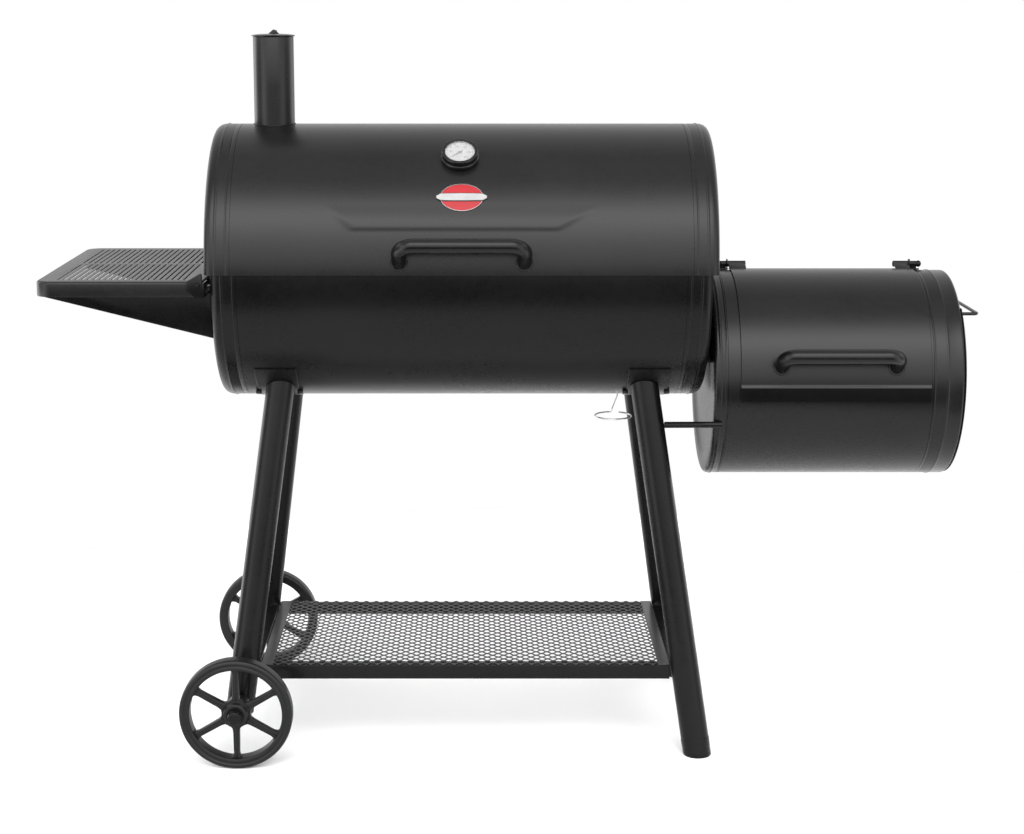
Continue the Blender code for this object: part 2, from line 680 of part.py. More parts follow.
def build_door(pivot, to_axis, black):
    door = add_part("firebox_door", prism(door_outline(), *DOOR_X), black, pivot, at=to_axis)
    hinge_y, hinge_z = polar(DOOR_HINGE_RADIUS, DOOR_HINGE_ANGLE)
    sheet_y, sheet_z = polar(DOOR_RADIUS - SHEET / 2, DOOR_ANGLES[1] - 2.0)
    for low, high in DOOR_KNUCKLES:
        web_low = max(low, DOOR_X[0]) + 0.001
        web_high = min(high, DOOR_X[1]) - 0.001
        web = prism([(sheet_y - 0.004, sheet_z + 0.0002), (sheet_y + 0.001, sheet_z + 0.0002),
                     (hinge_y + 0.001, hinge_z - 0.002), (hinge_y - 0.004, hinge_z + 0.003)],
                    web_low, web_high)
        combine(door, web, "UNION")
        combine(door, prism(circle((hinge_y, hinge_z), 0.0055, 12), low, high), "UNION")
        combine(door, prism(circle((hinge_y, hinge_z), 0.0030, 12, 0.1), low - 0.01, high + 0.01),
                "DIFFERENCE")
    add_part("firebox_door_handle",
             bent_handle(DOOR_HANDLE_LENGTH, DOOR_RADIUS + 2 * GAP, DOOR_HANDLE_RADIUS,
                         DOOR_HANDLE_ANGLE, DOOR_HANDLE_X), black, pivot, at=to_axis)


# ---------------------------------------------------------------- ash drawer and damper

def sector_tool(radius_in, radius_out, start, width, low, high):
    """A sector of a ring, centred on the damper's axis, as a cutter along X."""
    steps = 4
    turns = [math.radians(start + width * k / steps) for k in range(steps + 1)]
    outline = [(radius_out * math.cos(t), radius_out * math.sin(t)) for t in turns]
    outline += [(radius_in * math.cos(t), radius_in * math.sin(t)) for t in reversed(turns)]
    return prism(outline, low, high)


def cut_air_holes(part, centre_z, low, high, phase):
    for index in range(DAMPER_HOLES):
        start = phase + index * 360.0 / DAMPER_HOLES - 22.0
        tool = sector_tool(0.014, 0.040, start, 44.0, low, high)
        tool.transform(Matrix.Translation((0.0, 0.0, centre_z)))
        combine(part, tool, "DIFFERENCE")


def build_drawer(pivot, to_axis, black, iron, wire):
    face = FIREBOX_RIGHT + GAP
    front = add_part("ash_drawer_front",
                     prism(clipped_disc(DRAWER_PLATE, DRAWER_PLATE_TOP, 32), face, face + SHEET),
                     black, pivot, at=to_axis)
    cut_air_holes(front, DAMPER_Z, face - 0.01, face + 0.01, 90.0)
    combine(front, prism(circle((0.0, DAMPER_Z), 0.0034, 12), face - 0.01, face + 0.01), "DIFFERENCE")

    inner = PAN_RADIUS - SHEET
    pan_right = FIREBOX_RIGHT - GAP
    profile = [(PAN_LEFT, 0.110), (PAN_LEFT, PAN_RADIUS), (pan_right, PAN_RADIUS), (pan_right, inner),
               (PAN_LEFT + SHEET, inner), (PAN_LEFT + SHEET, 0.110)]
    add_part("ash_drawer_pan", sweep(profile, *PAN_ANGLES, arc_steps(PAN_ANGLES[1] - PAN_ANGLES[0])),
             black, pivot, at=to_axis)

    grate = slotted_plate(0.185, 0.1553, 0.012, 8, 1, 0.012, 0.004)
    add_part("firebox_grate", grate, iron, pivot,
             at=Vector(to_axis) + Vector(((PAN_LEFT + pan_right) / 2, 0.0, PAN_GRATE_Z)))

    foot_x = face + SHEET + GAP
    corners = [(foot_x, -BAIL_HALF, BAIL_Z), (foot_x + BAIL_REACH, -BAIL_HALF, BAIL_Z),
               (foot_x + BAIL_REACH, BAIL_HALF, BAIL_Z), (foot_x, BAIL_HALF, BAIL_Z)]
    add_part("ash_drawer_handle", tube_along(fillet_path(corners, 0.008, 3), BAIL_WIRE, 8),
             wire, pivot, at=to_axis)


def build_damper(pivot, wire):
    """Butterfly plate on the drawer's outside; its origin is on its pivot, its tab hangs down."""
    face = SHEET + 2 * GAP
    damper = add_part("air_damper", prism(circle((0.0, 0.0), DAMPER_RADIUS, 28), face, face + SHEET),
                      wire, pivot)
    cut_air_holes(damper, 0.0, -0.01, 0.02, 120.0)
    combine(damper, prism(circle((0.0, 0.0), 0.0028, 12), -0.001, face + 0.0008), "UNION")
    combine(damper, prism(circle((0.0, 0.0), 0.0060, 6), face + 0.001, face + 0.0050), "UNION")
    combine(damper, box((face, face + SHEET), (-0.007, 0.007), (-0.066, -DAMPER_RADIUS + 0.004)), "UNION")
    combine(damper, box((face + 0.0005, face + 0.0120), (-0.007, 0.007), (-0.0670, -0.0655)), "UNION")


# ---------------------------------------------------------------- stand

def leg_centre(side_x, side_y, z):
    """World (x, y) of a leg's centre line at height z. side_x 0 is left, 1 is right."""
    drop = LEG_REF_Z - z
    x = BARREL_X + LEG_TOP_X[side_x] + LEG_SLOPE_X[side_x] * drop
    return x, side_y * (LEG_TOP_Y + LEG_SLOPE_Y * drop)


def leg_ring(bm, side_x, side_y, z, radius):
    """Level section through a leaning tube: an ellipse, longest along the lean."""
    lean = Vector((LEG_SLOPE_X[side_x], side_y * LEG_SLOPE_Y))
    stretch = math.sqrt(1.0 + lean.length_squared)
    along = lean.normalized()
    across = Vector((-along.y, along.x))
    x, y = leg_centre(side_x, side_y, z)
    ring = []
    for k in range(LEG_STEPS):
        turn = 2 * math.pi * k / LEG_STEPS
        point = along * (radius * stretch * math.cos(turn)) + across * (radius * math.sin(turn))
        ring.append(bm.verts.new((x + point.x, y + point.y, z)))
    return ring


def leg_solid(side_x, side_y, sections):
    """Skin closed rings given as (z, radius), the last joined to the first."""
    bm = bmesh.new()
    rings = [leg_ring(bm, side_x, side_y, z, radius) for z, radius in sections]
    for first, second in zip(rings, rings[1:] + rings[:1]):
        for k in range(LEG_STEPS):
            after = (k + 1) % LEG_STEPS
            bm.faces.new((first[k], first[after], second[after], second[k]))
    return bm


def build_legs(pivot, black, plastic):
    cut_radius = BOWL_RADIUS + SADDLE_THICK + 2 * GAP
    for row, side_y in (("front", -1.0), ("rear", 1.0)):
        for side_x, side in enumerate(("left", "right")):
            bottom = 0.076 if side == "left" else FOOT_FLOOR + GAP
            inner = LEG_RADIUS - LEG_WALL
            leg = add_part(f"leg_{row}_{side}",
                           leg_solid(side_x, side_y, [(bottom, inner), (bottom, LEG_RADIUS),
                                                      (0.70, LEG_RADIUS), (0.70, inner)]),
                           black, pivot)
            barrel = prism(circle((0.0, BARREL_Z), cut_radius, 72), -0.6, 0.6)
            combine(leg, barrel, "DIFFERENCE")
            if side == "left":
                low, high = sorted((side_y * 0.12, side_y * 0.26))
                axle = prism(circle((BARREL_X + WHEEL_X, WHEEL_RADIUS), AXLE_RADIUS + GAP, 16),
                             low, high, "Y")
                combine(leg, axle, "DIFFERENCE")
            else:
                build_foot(pivot, f"foot_cup_{row}", side_x, side_y, plastic)


def build_foot(pivot, name, side_x, side_y, plastic):
    """Cup that the leg stands in: a solid cup cut out above its floor."""
    bm = bmesh.new()
    low = leg_ring(bm, side_x, side_y, 0.0, FOOT_RADIUS)
    high = leg_ring(bm, side_x, side_y, FOOT_HEIGHT, FOOT_RADIUS)
    bm.faces.new(low)
    bm.faces.new(high)
    for k in range(LEG_STEPS):
        after = (k + 1) % LEG_STEPS
        bm.faces.new((low[k], low[after], high[after], high[k]))
    foot = add_part(name, bm, plastic, pivot)
    well = bmesh.new()
    floor = leg_ring(well, side_x, side_y, FOOT_FLOOR, LEG_RADIUS + GAP)
    mouth = leg_ring(well, side_x, side_y, FOOT_HEIGHT + 0.01, LEG_RADIUS + GAP)
    well.faces.new(floor)
    well.faces.new(mouth)
    for k in range(LEG_STEPS):
        after = (k + 1) % LEG_STEPS
        well.faces.new((floor[k], floor[after], mouth[after], mouth[k]))
    combine(foot, well, "DIFFERENCE")


def build_saddles(pivot, black):
    outer = BOWL_RADIUS + GAP + SADDLE_THICK
    middles = {"left": LEG_TOP_X[0], "right": LEG_TOP_X[1]}
    for name, middle in middles.items():
        sheet = curved_sheet(middle - SADDLE_WIDTH / 2, middle + SADDLE_WIDTH / 2, outer, SADDLE_THICK,
                             270.0 - SADDLE_HALF_ANGLE, 270.0 + SADDLE_HALF_ANGLE)
        add_part(f"leg_saddle_{name}", sheet, black, pivot)


def angle_outline(corner, size, wall, across):
    """L section: a level flange towards `across` (+1 or -1) and a web hanging from the corner."""
    a, z = corner
    return [(a, z), (a + across * size, z), (a + across * size, z - wall), (a + across * wall, z - wall),
            (a + across * wall, z - size), (a, z - size)]


def build_lower_shelf(pivot, black, grey):
    for name, side in (("front", -1.0), ("rear", 1.0)):
        outline = angle_outline((side * RAIL_Y, RAIL_TOP), RAIL_SIZE, RAIL_WALL, -side)
        add_part(f"shelf_rail_{name}", prism(outline, BARREL_X - 0.3575, BARREL_X + 0.3660), black, pivot)
    reach = RAIL_Y - RAIL_SIZE - 2 * GAP
    for name, x, across in (("left", -0.3832, 1.0), ("right", 0.3840, -1.0)):
        outline = angle_outline((BARREL_X + x, RAIL_TOP), RAIL_SIZE, RAIL_WALL, across)
        add_part(f"shelf_rail_{name}", prism(outline, -reach, reach, "Y"), black, pivot)
    low = RAIL_TOP + GAP
    add_part("lower_shelf_mesh",
             box((BARREL_X + SHELF_MESH_X[0], BARREL_X + SHELF_MESH_X[1]), (-RAIL_Y + 0.002, RAIL_Y - 0.002),
                 (low, low + SHELF_MESH_THICK)), grey, pivot)


def build_axle(pivot, steel, black):
    """The axle and its caps are turned pieces; their Z axes lie along the world's Y."""
    at = (BARREL_X + WHEEL_X, 0.0, WHEEL_RADIUS)
    section = [(0.0, -AXLE_HALF), (AXLE_RADIUS, -AXLE_HALF), (AXLE_RADIUS, AXLE_HALF), (0.0, AXLE_HALF)]
    rod = lathe(section, 14)
    rod.transform(Matrix.Rotation(math.pi / 2, 4, "X"))
    add_part("axle", rod, steel, pivot, at)
    for name, turn in (("front", math.pi / 2), ("rear", -math.pi / 2)):
        cap = lathe([(0.0, AXLE_HALF + GAP), (AXLE_RADIUS + GAP, AXLE_HALF + GAP),
                     (AXLE_RADIUS + GAP, HUB_REACH[1] + 2 * GAP), (0.0125, HUB_REACH[1] + 2 * GAP),
                     (0.0125, AXLE_CAP_END - 0.003), (0.0095, AXLE_CAP_END), (0.0, AXLE_CAP_END)], 14)
        cap.transform(Matrix.Rotation(turn, 4, "X"))
        add_part(f"axle_cap_{name}", cap, black, pivot, at)


def wheel_mesh(plastic):
    """Front wheel round its own axis (Z here, outwards), its middle at z = 0."""
    half = WHEEL_WIDTH / 2
    inner = WHEEL_RADIUS - WHEEL_RIM
    rim = lathe([(inner, -half), (WHEEL_RADIUS - 0.004, -half), (WHEEL_RADIUS, -half + 0.004),
                 (WHEEL_RADIUS, half - 0.004), (WHEEL_RADIUS - 0.004, half), (inner, half)], 36)
    wheel = add_part("wheel_front", rim, plastic, None)
    near = HUB_REACH[0] - WHEEL_Y
    far = HUB_REACH[1] - WHEEL_Y
    for index in range(SPOKES):
        turn = Matrix.Rotation(2 * math.pi * index / SPOKES, 4, "Z")
        spoke = prism([(-0.0055, HUB_RADIUS - 0.004), (0.0055, HUB_RADIUS - 0.004),
                       (0.0042, inner + 0.004), (-0.0042, inner + 0.004)], -0.007, 0.007, "Z")
        spoke.transform(turn)
        combine(wheel, spoke, "UNION")
    hub = prism(circle((0.0, 0.0), HUB_RADIUS, 18), near, far, "Z")
    combine(wheel, hub, "UNION")
    bore = prism(circle((0.0, 0.0), AXLE_RADIUS + GAP, 12), near - 0.01, far + 0.01, "Z")
    combine(wheel, bore, "DIFFERENCE")
    return wheel


def build_wheels(front_pivot, rear_pivot, plastic):
    front = wheel_mesh(plastic)
    front.parent = front_pivot
    front.rotation_euler = (math.pi / 2, 0.0, 0.0)
    add_mesh("wheel_rear", front.data, plastic, rear_pivot, rotation=(math.pi / 2, 0.0, math.pi))


# ---------------------------------------------------------------- side shelf

def build_side_shelf(pivot, grey, black):
    """Drawn in the barrel's X and the world's Z."""
    centre = ((TRAY_X[0] + TRAY_X[1]) / 2, 0.0)
    half = ((TRAY_X[1] - TRAY_X[0]) / 2, TRAY_HALF)
    outer = rounded_rectangle(centre, half, TRAY_CORNER, 4)
    inner = rounded_rectangle(centre, (half[0] - SHEET, half[1] - SHEET), TRAY_CORNER - SHEET, 4)
    tray = add_part("side_shelf_tray", prism(outer, TRAY_TOP - TRAY_DEPTH, TRAY_TOP, "Z"), grey, pivot)
    combine(tray, prism(inner, TRAY_TOP - TRAY_DEPTH - 0.01, TRAY_TOP - SHEET, "Z"), "DIFFERENCE")
    slots = bmesh.new()
    first = TRAY_X[0] + 0.034
    pitch = (TRAY_X[1] - 0.026 - first) / TRAY_SLOTS
    for row in ((-TRAY_HALF + 0.026, -0.006), (0.006, TRAY_HALF - 0.026)):
        for index in range(TRAY_SLOTS):
            x = first + index * pitch
            slot = box((x, x + 0.0048), row, (TRAY_TOP - 0.01, TRAY_TOP + 0.01))
            holder = bpy.data.meshes.new("slot")
            slot.to_mesh(holder)
            slot.free()
            slots.from_mesh(holder)
            bpy.data.meshes.remove(holder)
    combine(tray, slots, "DIFFERENCE")

    root_x = -BOWL_HALF - GAP
    under = TRAY_TOP - SHEET - GAP
    outline = [(root_x, GUSSET_ROOT_Z), (root_x, under), (TRAY_X[0] + 0.004, under),
               (TRAY_X[0] + 0.004, GUSSET_TIP_Z)]
    for name, side in (("front", -1.0), ("rear", 1.0)):
        low, high = sorted((side * GUSSET_Y, side * (GUSSET_Y - 0.002)))
        # The tray's inner rim stands between the gusset and the barrel, so the gusset passes under it.
        web = prism(outline, low, high, "Y")
        gusset = add_part(f"shelf_gusset_{name}", web, black, pivot)
        rim = box((TRAY_X[1] - 0.004, root_x + 0.01), (-0.25, 0.25), (TRAY_TOP - TRAY_DEPTH - GAP, 0.9))
        combine(gusset, rim, "DIFFERENCE")
        low, high = sorted((side * GUSSET_Y, side * (GUSSET_Y - 0.024)))
        plate_z = (GUSSET_ROOT_Z + 0.004, TRAY_TOP - TRAY_DEPTH - 0.002)
        plate = box((root_x - 0.002, root_x), (low, high), plate_z)
        combine(gusset, plate, "UNION")

        build_shelf_bracket(f"shelf_bracket_{name}", side, pivot, black)


def build_shelf_bracket(name, side, pivot, black):
    """Angle at the tray's inner corner: a wedge plate outside the rim, a flange and an arm to the bowl."""
    x_low = TRAY_X[1] + GAP
    bottom = TRAY_TOP - TRAY_DEPTH - 0.0015
    outline = [(-0.4586, TRAY_TOP - 0.0140), (-0.4586, TRAY_TOP + 0.0007), (-0.4345, TRAY_TOP + 0.0150),
               (-0.4318, TRAY_TOP + 0.0129), (-0.4318, bottom), (-0.4440, bottom)]
    low, high = sorted((side * BRACKET_Y, side * (BRACKET_Y - 0.0030)))
    bracket = add_part(name, prism(outline, low, high, "Y"), black, pivot)
    low, high = sorted((side * (BRACKET_Y - 0.0005), side * (GUSSET_Y + 0.0006)))
    flange = box((x_low, x_low + 0.0025), (low, high), (bottom + 0.0004, TRAY_TOP - 0.0020))
    combine(bracket, flange, "UNION")
    low, high = sorted((side * 0.2200, side * (GUSSET_Y + 0.0010)))
    arm = box((x_low + 0.0004, -BOWL_HALF - GAP), (low, high), (TRAY_TOP - 0.0125, TRAY_TOP - 0.0095))
    combine(bracket, arm, "UNION")


# ---------------------------------------------------------------- brace

def build_brace(pivot, black):
    """Bar from the right front leg, bent to run along the front of the firebox's left end."""
    x_leg, y_leg = leg_centre(1, -1.0, BRACE_Z)
    surface_y = -math.sqrt(FIREBOX_RADIUS ** 2 - (BRACE_Z - FIREBOX_Z) ** 2)
    end_y = surface_y - BRACE_RADIUS - 2 * GAP
    corners = [(x_leg + LEG_RADIUS + 0.0008, y_leg - 0.012, BRACE_Z),
               (BARREL_X + FIREBOX_LEFT - 0.012, end_y, BRACE_Z),
               (BARREL_X + FIREBOX_LEFT + 0.014, end_y, BRACE_Z)]
    add_part("firebox_brace", tube_along(fillet_path(corners, 0.03, 3), BRACE_RADIUS, 10), black, pivot)


# ---------------------------------------------------------------- assembly

def main():
    clear_scene()
    black = make_material("black_paint", (0.030, 0.030, 0.031), 0.48, 0.0)
    leg_black = make_material("leg_paint", (0.018, 0.018, 0.019), 0.42, 0.0)
    grey = make_material("grey_paint", (0.20, 0.20, 0.20), 0.50, 0.0)
    iron = make_material("cast_iron", (0.035, 0.034, 0.033), 0.75, 0.6)
    steel = make_material("zinc_steel", (0.55, 0.55, 0.55), 0.35, 1.0)
    plastic = make_material("black_plastic", (0.022, 0.022, 0.023), 0.50, 0.0)
    red = make_material("red_enamel", (0.55, 0.03, 0.04), 0.25, 0.0)
    white = make_material("dial_white", (0.80, 0.80, 0.80), 0.40, 0.0)

    barrel_at = Vector((BARREL_X, 0.0, BARREL_Z))
    firebox_at = Vector((BARREL_X, 0.0, FIREBOX_Z))
    ground = make_pivot("ground", (0.0, 0.0, 0.0))
    barrel = make_pivot("barrel_axis", barrel_at)
    stand = make_pivot("stand_middle", (BARREL_X, 0.0, 0.0))
    firebox = make_pivot("firebox_axis", firebox_at)

    lid_origin = Vector((0.0, LID_HINGE_Y, 0.0))
    lid = make_pivot("lid_hinge_axis", barrel_at + lid_origin)
    build_bowl(barrel, black, iron)
    build_grease_hanger(barrel, steel)
    build_lid_hinges(barrel, lid, lid_origin, leg_black)
    build_lid(lid, -lid_origin, black, steel, red, white)

    gauge_y, gauge_z = polar(LID_RADIUS + GAP, GAUGE_ANGLE)
    needle = make_pivot("needle_axis", barrel_at + Vector((GAUGE_X, gauge_y, gauge_z)))
    needle.rotation_euler = (math.radians(90.0 - GAUGE_ANGLE), 0.0, 0.0)
    build_needle(needle, leg_black)
    cap = make_pivot("stack_cap_axis", (BARREL_X + STACK_X, CAP_PIVOT_Y, STACK_TOP))
    build_stack_cap(cap, leg_black)

    build_firebox(firebox, black)
    build_door_brackets(firebox, leg_black)
    hinge_y, hinge_z = polar(DOOR_HINGE_RADIUS, DOOR_HINGE_ANGLE)
    door_origin = Vector((0.0, hinge_y, hinge_z))
    door = make_pivot("door_hinge_axis", firebox_at + door_origin)
    build_door(door, -door_origin, black)
    drawer = make_pivot("drawer_slide", firebox_at)
    build_drawer(drawer, Vector((0.0, 0.0, 0.0)), black, iron, steel)
    damper = make_pivot("damper_axis", firebox_at + Vector((FIREBOX_RIGHT, 0.0, DAMPER_Z)))
    build_damper(damper, leg_black)

    build_saddles(barrel, leg_black)
    build_legs(ground, leg_black, plastic)
    build_lower_shelf(ground, leg_black, grey)
    build_axle(ground, steel, plastic)
    wheel_front = make_pivot("wheel_front_axis", (BARREL_X + WHEEL_X, -WHEEL_Y, WHEEL_RADIUS))
    wheel_rear = make_pivot("wheel_rear_axis", (BARREL_X + WHEEL_X, WHEEL_Y, WHEEL_RADIUS))
    build_wheels(wheel_front, wheel_rear, plastic)
    build_side_shelf(stand, grey, leg_black)
    build_brace(ground, leg_black)
    bpy.context.view_layer.update()


main()
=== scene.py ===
"""Looks of the barrel charcoal grill: detailed pieces, materials, studio light and camera.

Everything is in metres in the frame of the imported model: +Z up, -Y the front. Angles round a
barrel's axis are counted from its front upwards: 0 front, 90 top, 180 rear, 270 bottom.
"""
import math

import bmesh
import bpy
from mathutils import Matrix, Vector, noise


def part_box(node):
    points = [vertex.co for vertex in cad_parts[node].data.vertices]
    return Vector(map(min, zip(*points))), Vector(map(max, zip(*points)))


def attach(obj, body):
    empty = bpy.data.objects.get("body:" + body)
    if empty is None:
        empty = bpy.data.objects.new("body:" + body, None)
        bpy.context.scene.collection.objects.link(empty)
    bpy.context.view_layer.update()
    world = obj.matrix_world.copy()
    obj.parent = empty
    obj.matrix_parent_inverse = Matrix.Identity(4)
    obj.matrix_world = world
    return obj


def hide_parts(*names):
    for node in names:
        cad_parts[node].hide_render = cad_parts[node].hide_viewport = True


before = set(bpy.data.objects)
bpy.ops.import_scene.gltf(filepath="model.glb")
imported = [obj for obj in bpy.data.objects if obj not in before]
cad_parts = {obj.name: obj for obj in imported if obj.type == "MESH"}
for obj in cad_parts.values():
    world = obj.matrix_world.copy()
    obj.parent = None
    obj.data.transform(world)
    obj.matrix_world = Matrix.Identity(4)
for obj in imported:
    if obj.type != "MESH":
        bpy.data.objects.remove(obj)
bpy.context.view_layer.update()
scene = bpy.context.scene


# ---------------------------------------------------------------- datums from the frame

def low(node):
    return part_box(node)[0]


def high(node):
    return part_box(node)[1]


def middle(node):
    return (low(node) + high(node)) / 2


GAP = 0.0003
SHEET = 0.0015
BARREL = Vector((middle("bowl_shell").x, 0.0, high("bowl_shell").z))
BOWL_R = high("bowl_shell").y
LID_R = high("lid_shell").z - BARREL.z
LID_HALF = high("lid_end_right").x - BARREL.x
BOWL_HALF = high("bowl_end_right").x - BARREL.x
FIREBOX_R = (high("firebox_shell").z - low("firebox_shell").z) / 2
FIREBOX = Vector((0.0, 0.0, middle("firebox_shell").z))
FIRE_LEFT = low("firebox_end_left").x + 0.012
FIRE_RIGHT = high("firebox_end_right").x
GAUGE_X = middle("thermometer_housing").x
GAUGE_ANGLE = 52.6
BADGE_ANGLE = 32.7
HANDLE_TUBE = 0.0127
STACK_R = 0.0356
STACK_TOP = 1.2458
CAP_PIVOT_Y = 0.0436
LID_HINGE_Y = 0.2544
PORT_Z = 0.7325                # middle of the smoke port between barrel and firebox
DOOR_KNUCKLES = ((BARREL.x + 0.4800, BARREL.x + 0.5125), (BARREL.x + 0.7798, BARREL.x + 0.8080))
DOOR_EARS = ((BARREL.x + 0.4640, BARREL.x + 0.4792), (BARREL.x + 0.8088, BARREL.x + 0.8240))
ACROSS = Matrix(((0, 0, 1, 0), (1, 0, 0, 0), (0, 1, 0, 0), (0, 0, 0, 1)))   # outline in YZ, depth on X


# ---------------------------------------------------------------- small geometry tools

def polar(radius, angle):
    """(y, z) from a barrel's axis."""
    turn = math.radians(angle)
    return -radius * math.cos(turn), radius * math.sin(turn)


def on_barrel(axis, x, radius, angle):
    y, z = polar(radius, angle)
    return Vector((x, axis.y + y, axis.z + z))


def smoothstep(value):
    t = min(max(value, 0.0), 1.0)
    return t * t * (3.0 - 2.0 * t)


def spread(start, stop, count):
    return [start + (stop - start) * k / count for k in range(count + 1)]


def circle(radius, count, centre=(0.0, 0.0), start=0.0, stop=360.0):
    """Points round a circle or an arc; a full circle doesn't repeat its first point."""
    steps = count if abs(stop - start) >= 360.0 else count - 1
    turns = [math.radians(start + (stop - start) * k / steps) for k in range(count)]
    return [(centre[0] + radius * math.cos(t), centre[1] + radius * math.sin(t)) for t in turns]


def rounded_rectangle(x0, x1, y0, y1, radius, count=6):
    corners = ((x1, y1, 0.0), (x0, y1, 90.0), (x0, y0, 180.0), (x1, y0, 270.0))
    points = []
    for x, y, start in corners:
        centre = (x - math.copysign(radius, x - (x0 + x1) / 2), y - math.copysign(radius, y - (y0 + y1) / 2))
        points += circle(radius, count, centre, start, start + 90.0)
    return points


def fillet(points, radius, count=4, closed=False):
    """Round the corners of a 2D or 3D polyline."""
    points = [Vector(p) for p in points]
    last = len(points) - 1
    result = []
    for index, corner in enumerate(points):
        if not closed and index in (0, last):
            result.append(corner)
            continue
        before = points[index - 1]
        after = points[(index + 1) % len(points)]
        back = (before - corner)
        ahead = (after - corner)
        if back.length < 1e-9 or ahead.length < 1e-9:
            continue
        angle = back.angle(ahead)
        if angle > math.radians(176.0):
            result.append(corner)
            continue
        reach = min(radius / math.tan(angle / 2), back.length * 0.48, ahead.length * 0.48)
        start = corner + back.normalized() * reach
        stop = corner + ahead.normalized() * reach
        bulge = math.tan(angle / 2) * reach
        centre = corner + (back.normalized() + ahead.normalized()).normalized() * math.hypot(reach, bulge)
        first = start - centre
        final = stop - centre
        for k in range(count + 1):
            way = k / count
            mixed = first * (1.0 - way) + final * way
            result.append(centre + mixed.normalized() * bulge)
    return result


def offset_profile(points, distance):
    """Move an open 2D polyline sideways, to its right as it runs."""
    points = [Vector(p) for p in points]
    result = []
    for index, point in enumerate(points):
        before = points[max(index - 1, 0)]
        after = points[min(index + 1, len(points) - 1)]
        first = (point - before) if index else (after - point)
        second = (after - point) if index < len(points) - 1 else first
        direction = (first.normalized() + second.normalized())
        normal = Vector((direction.y, -direction.x)).normalized()
        spread_out = max(normal.dot(Vector((first.y, -first.x)).normalized()), 0.5)
        result.append(point + normal * distance / spread_out)
    return result


def bump_points(at, radius, width, height, count=5):
    """A round bead (height > 0) or groove (height < 0) in an (x, r) profile."""
    return [(at + width * (k / count - 0.5), radius + height * math.sin(math.pi * k / count) ** 2)
            for k in range(count + 1)]


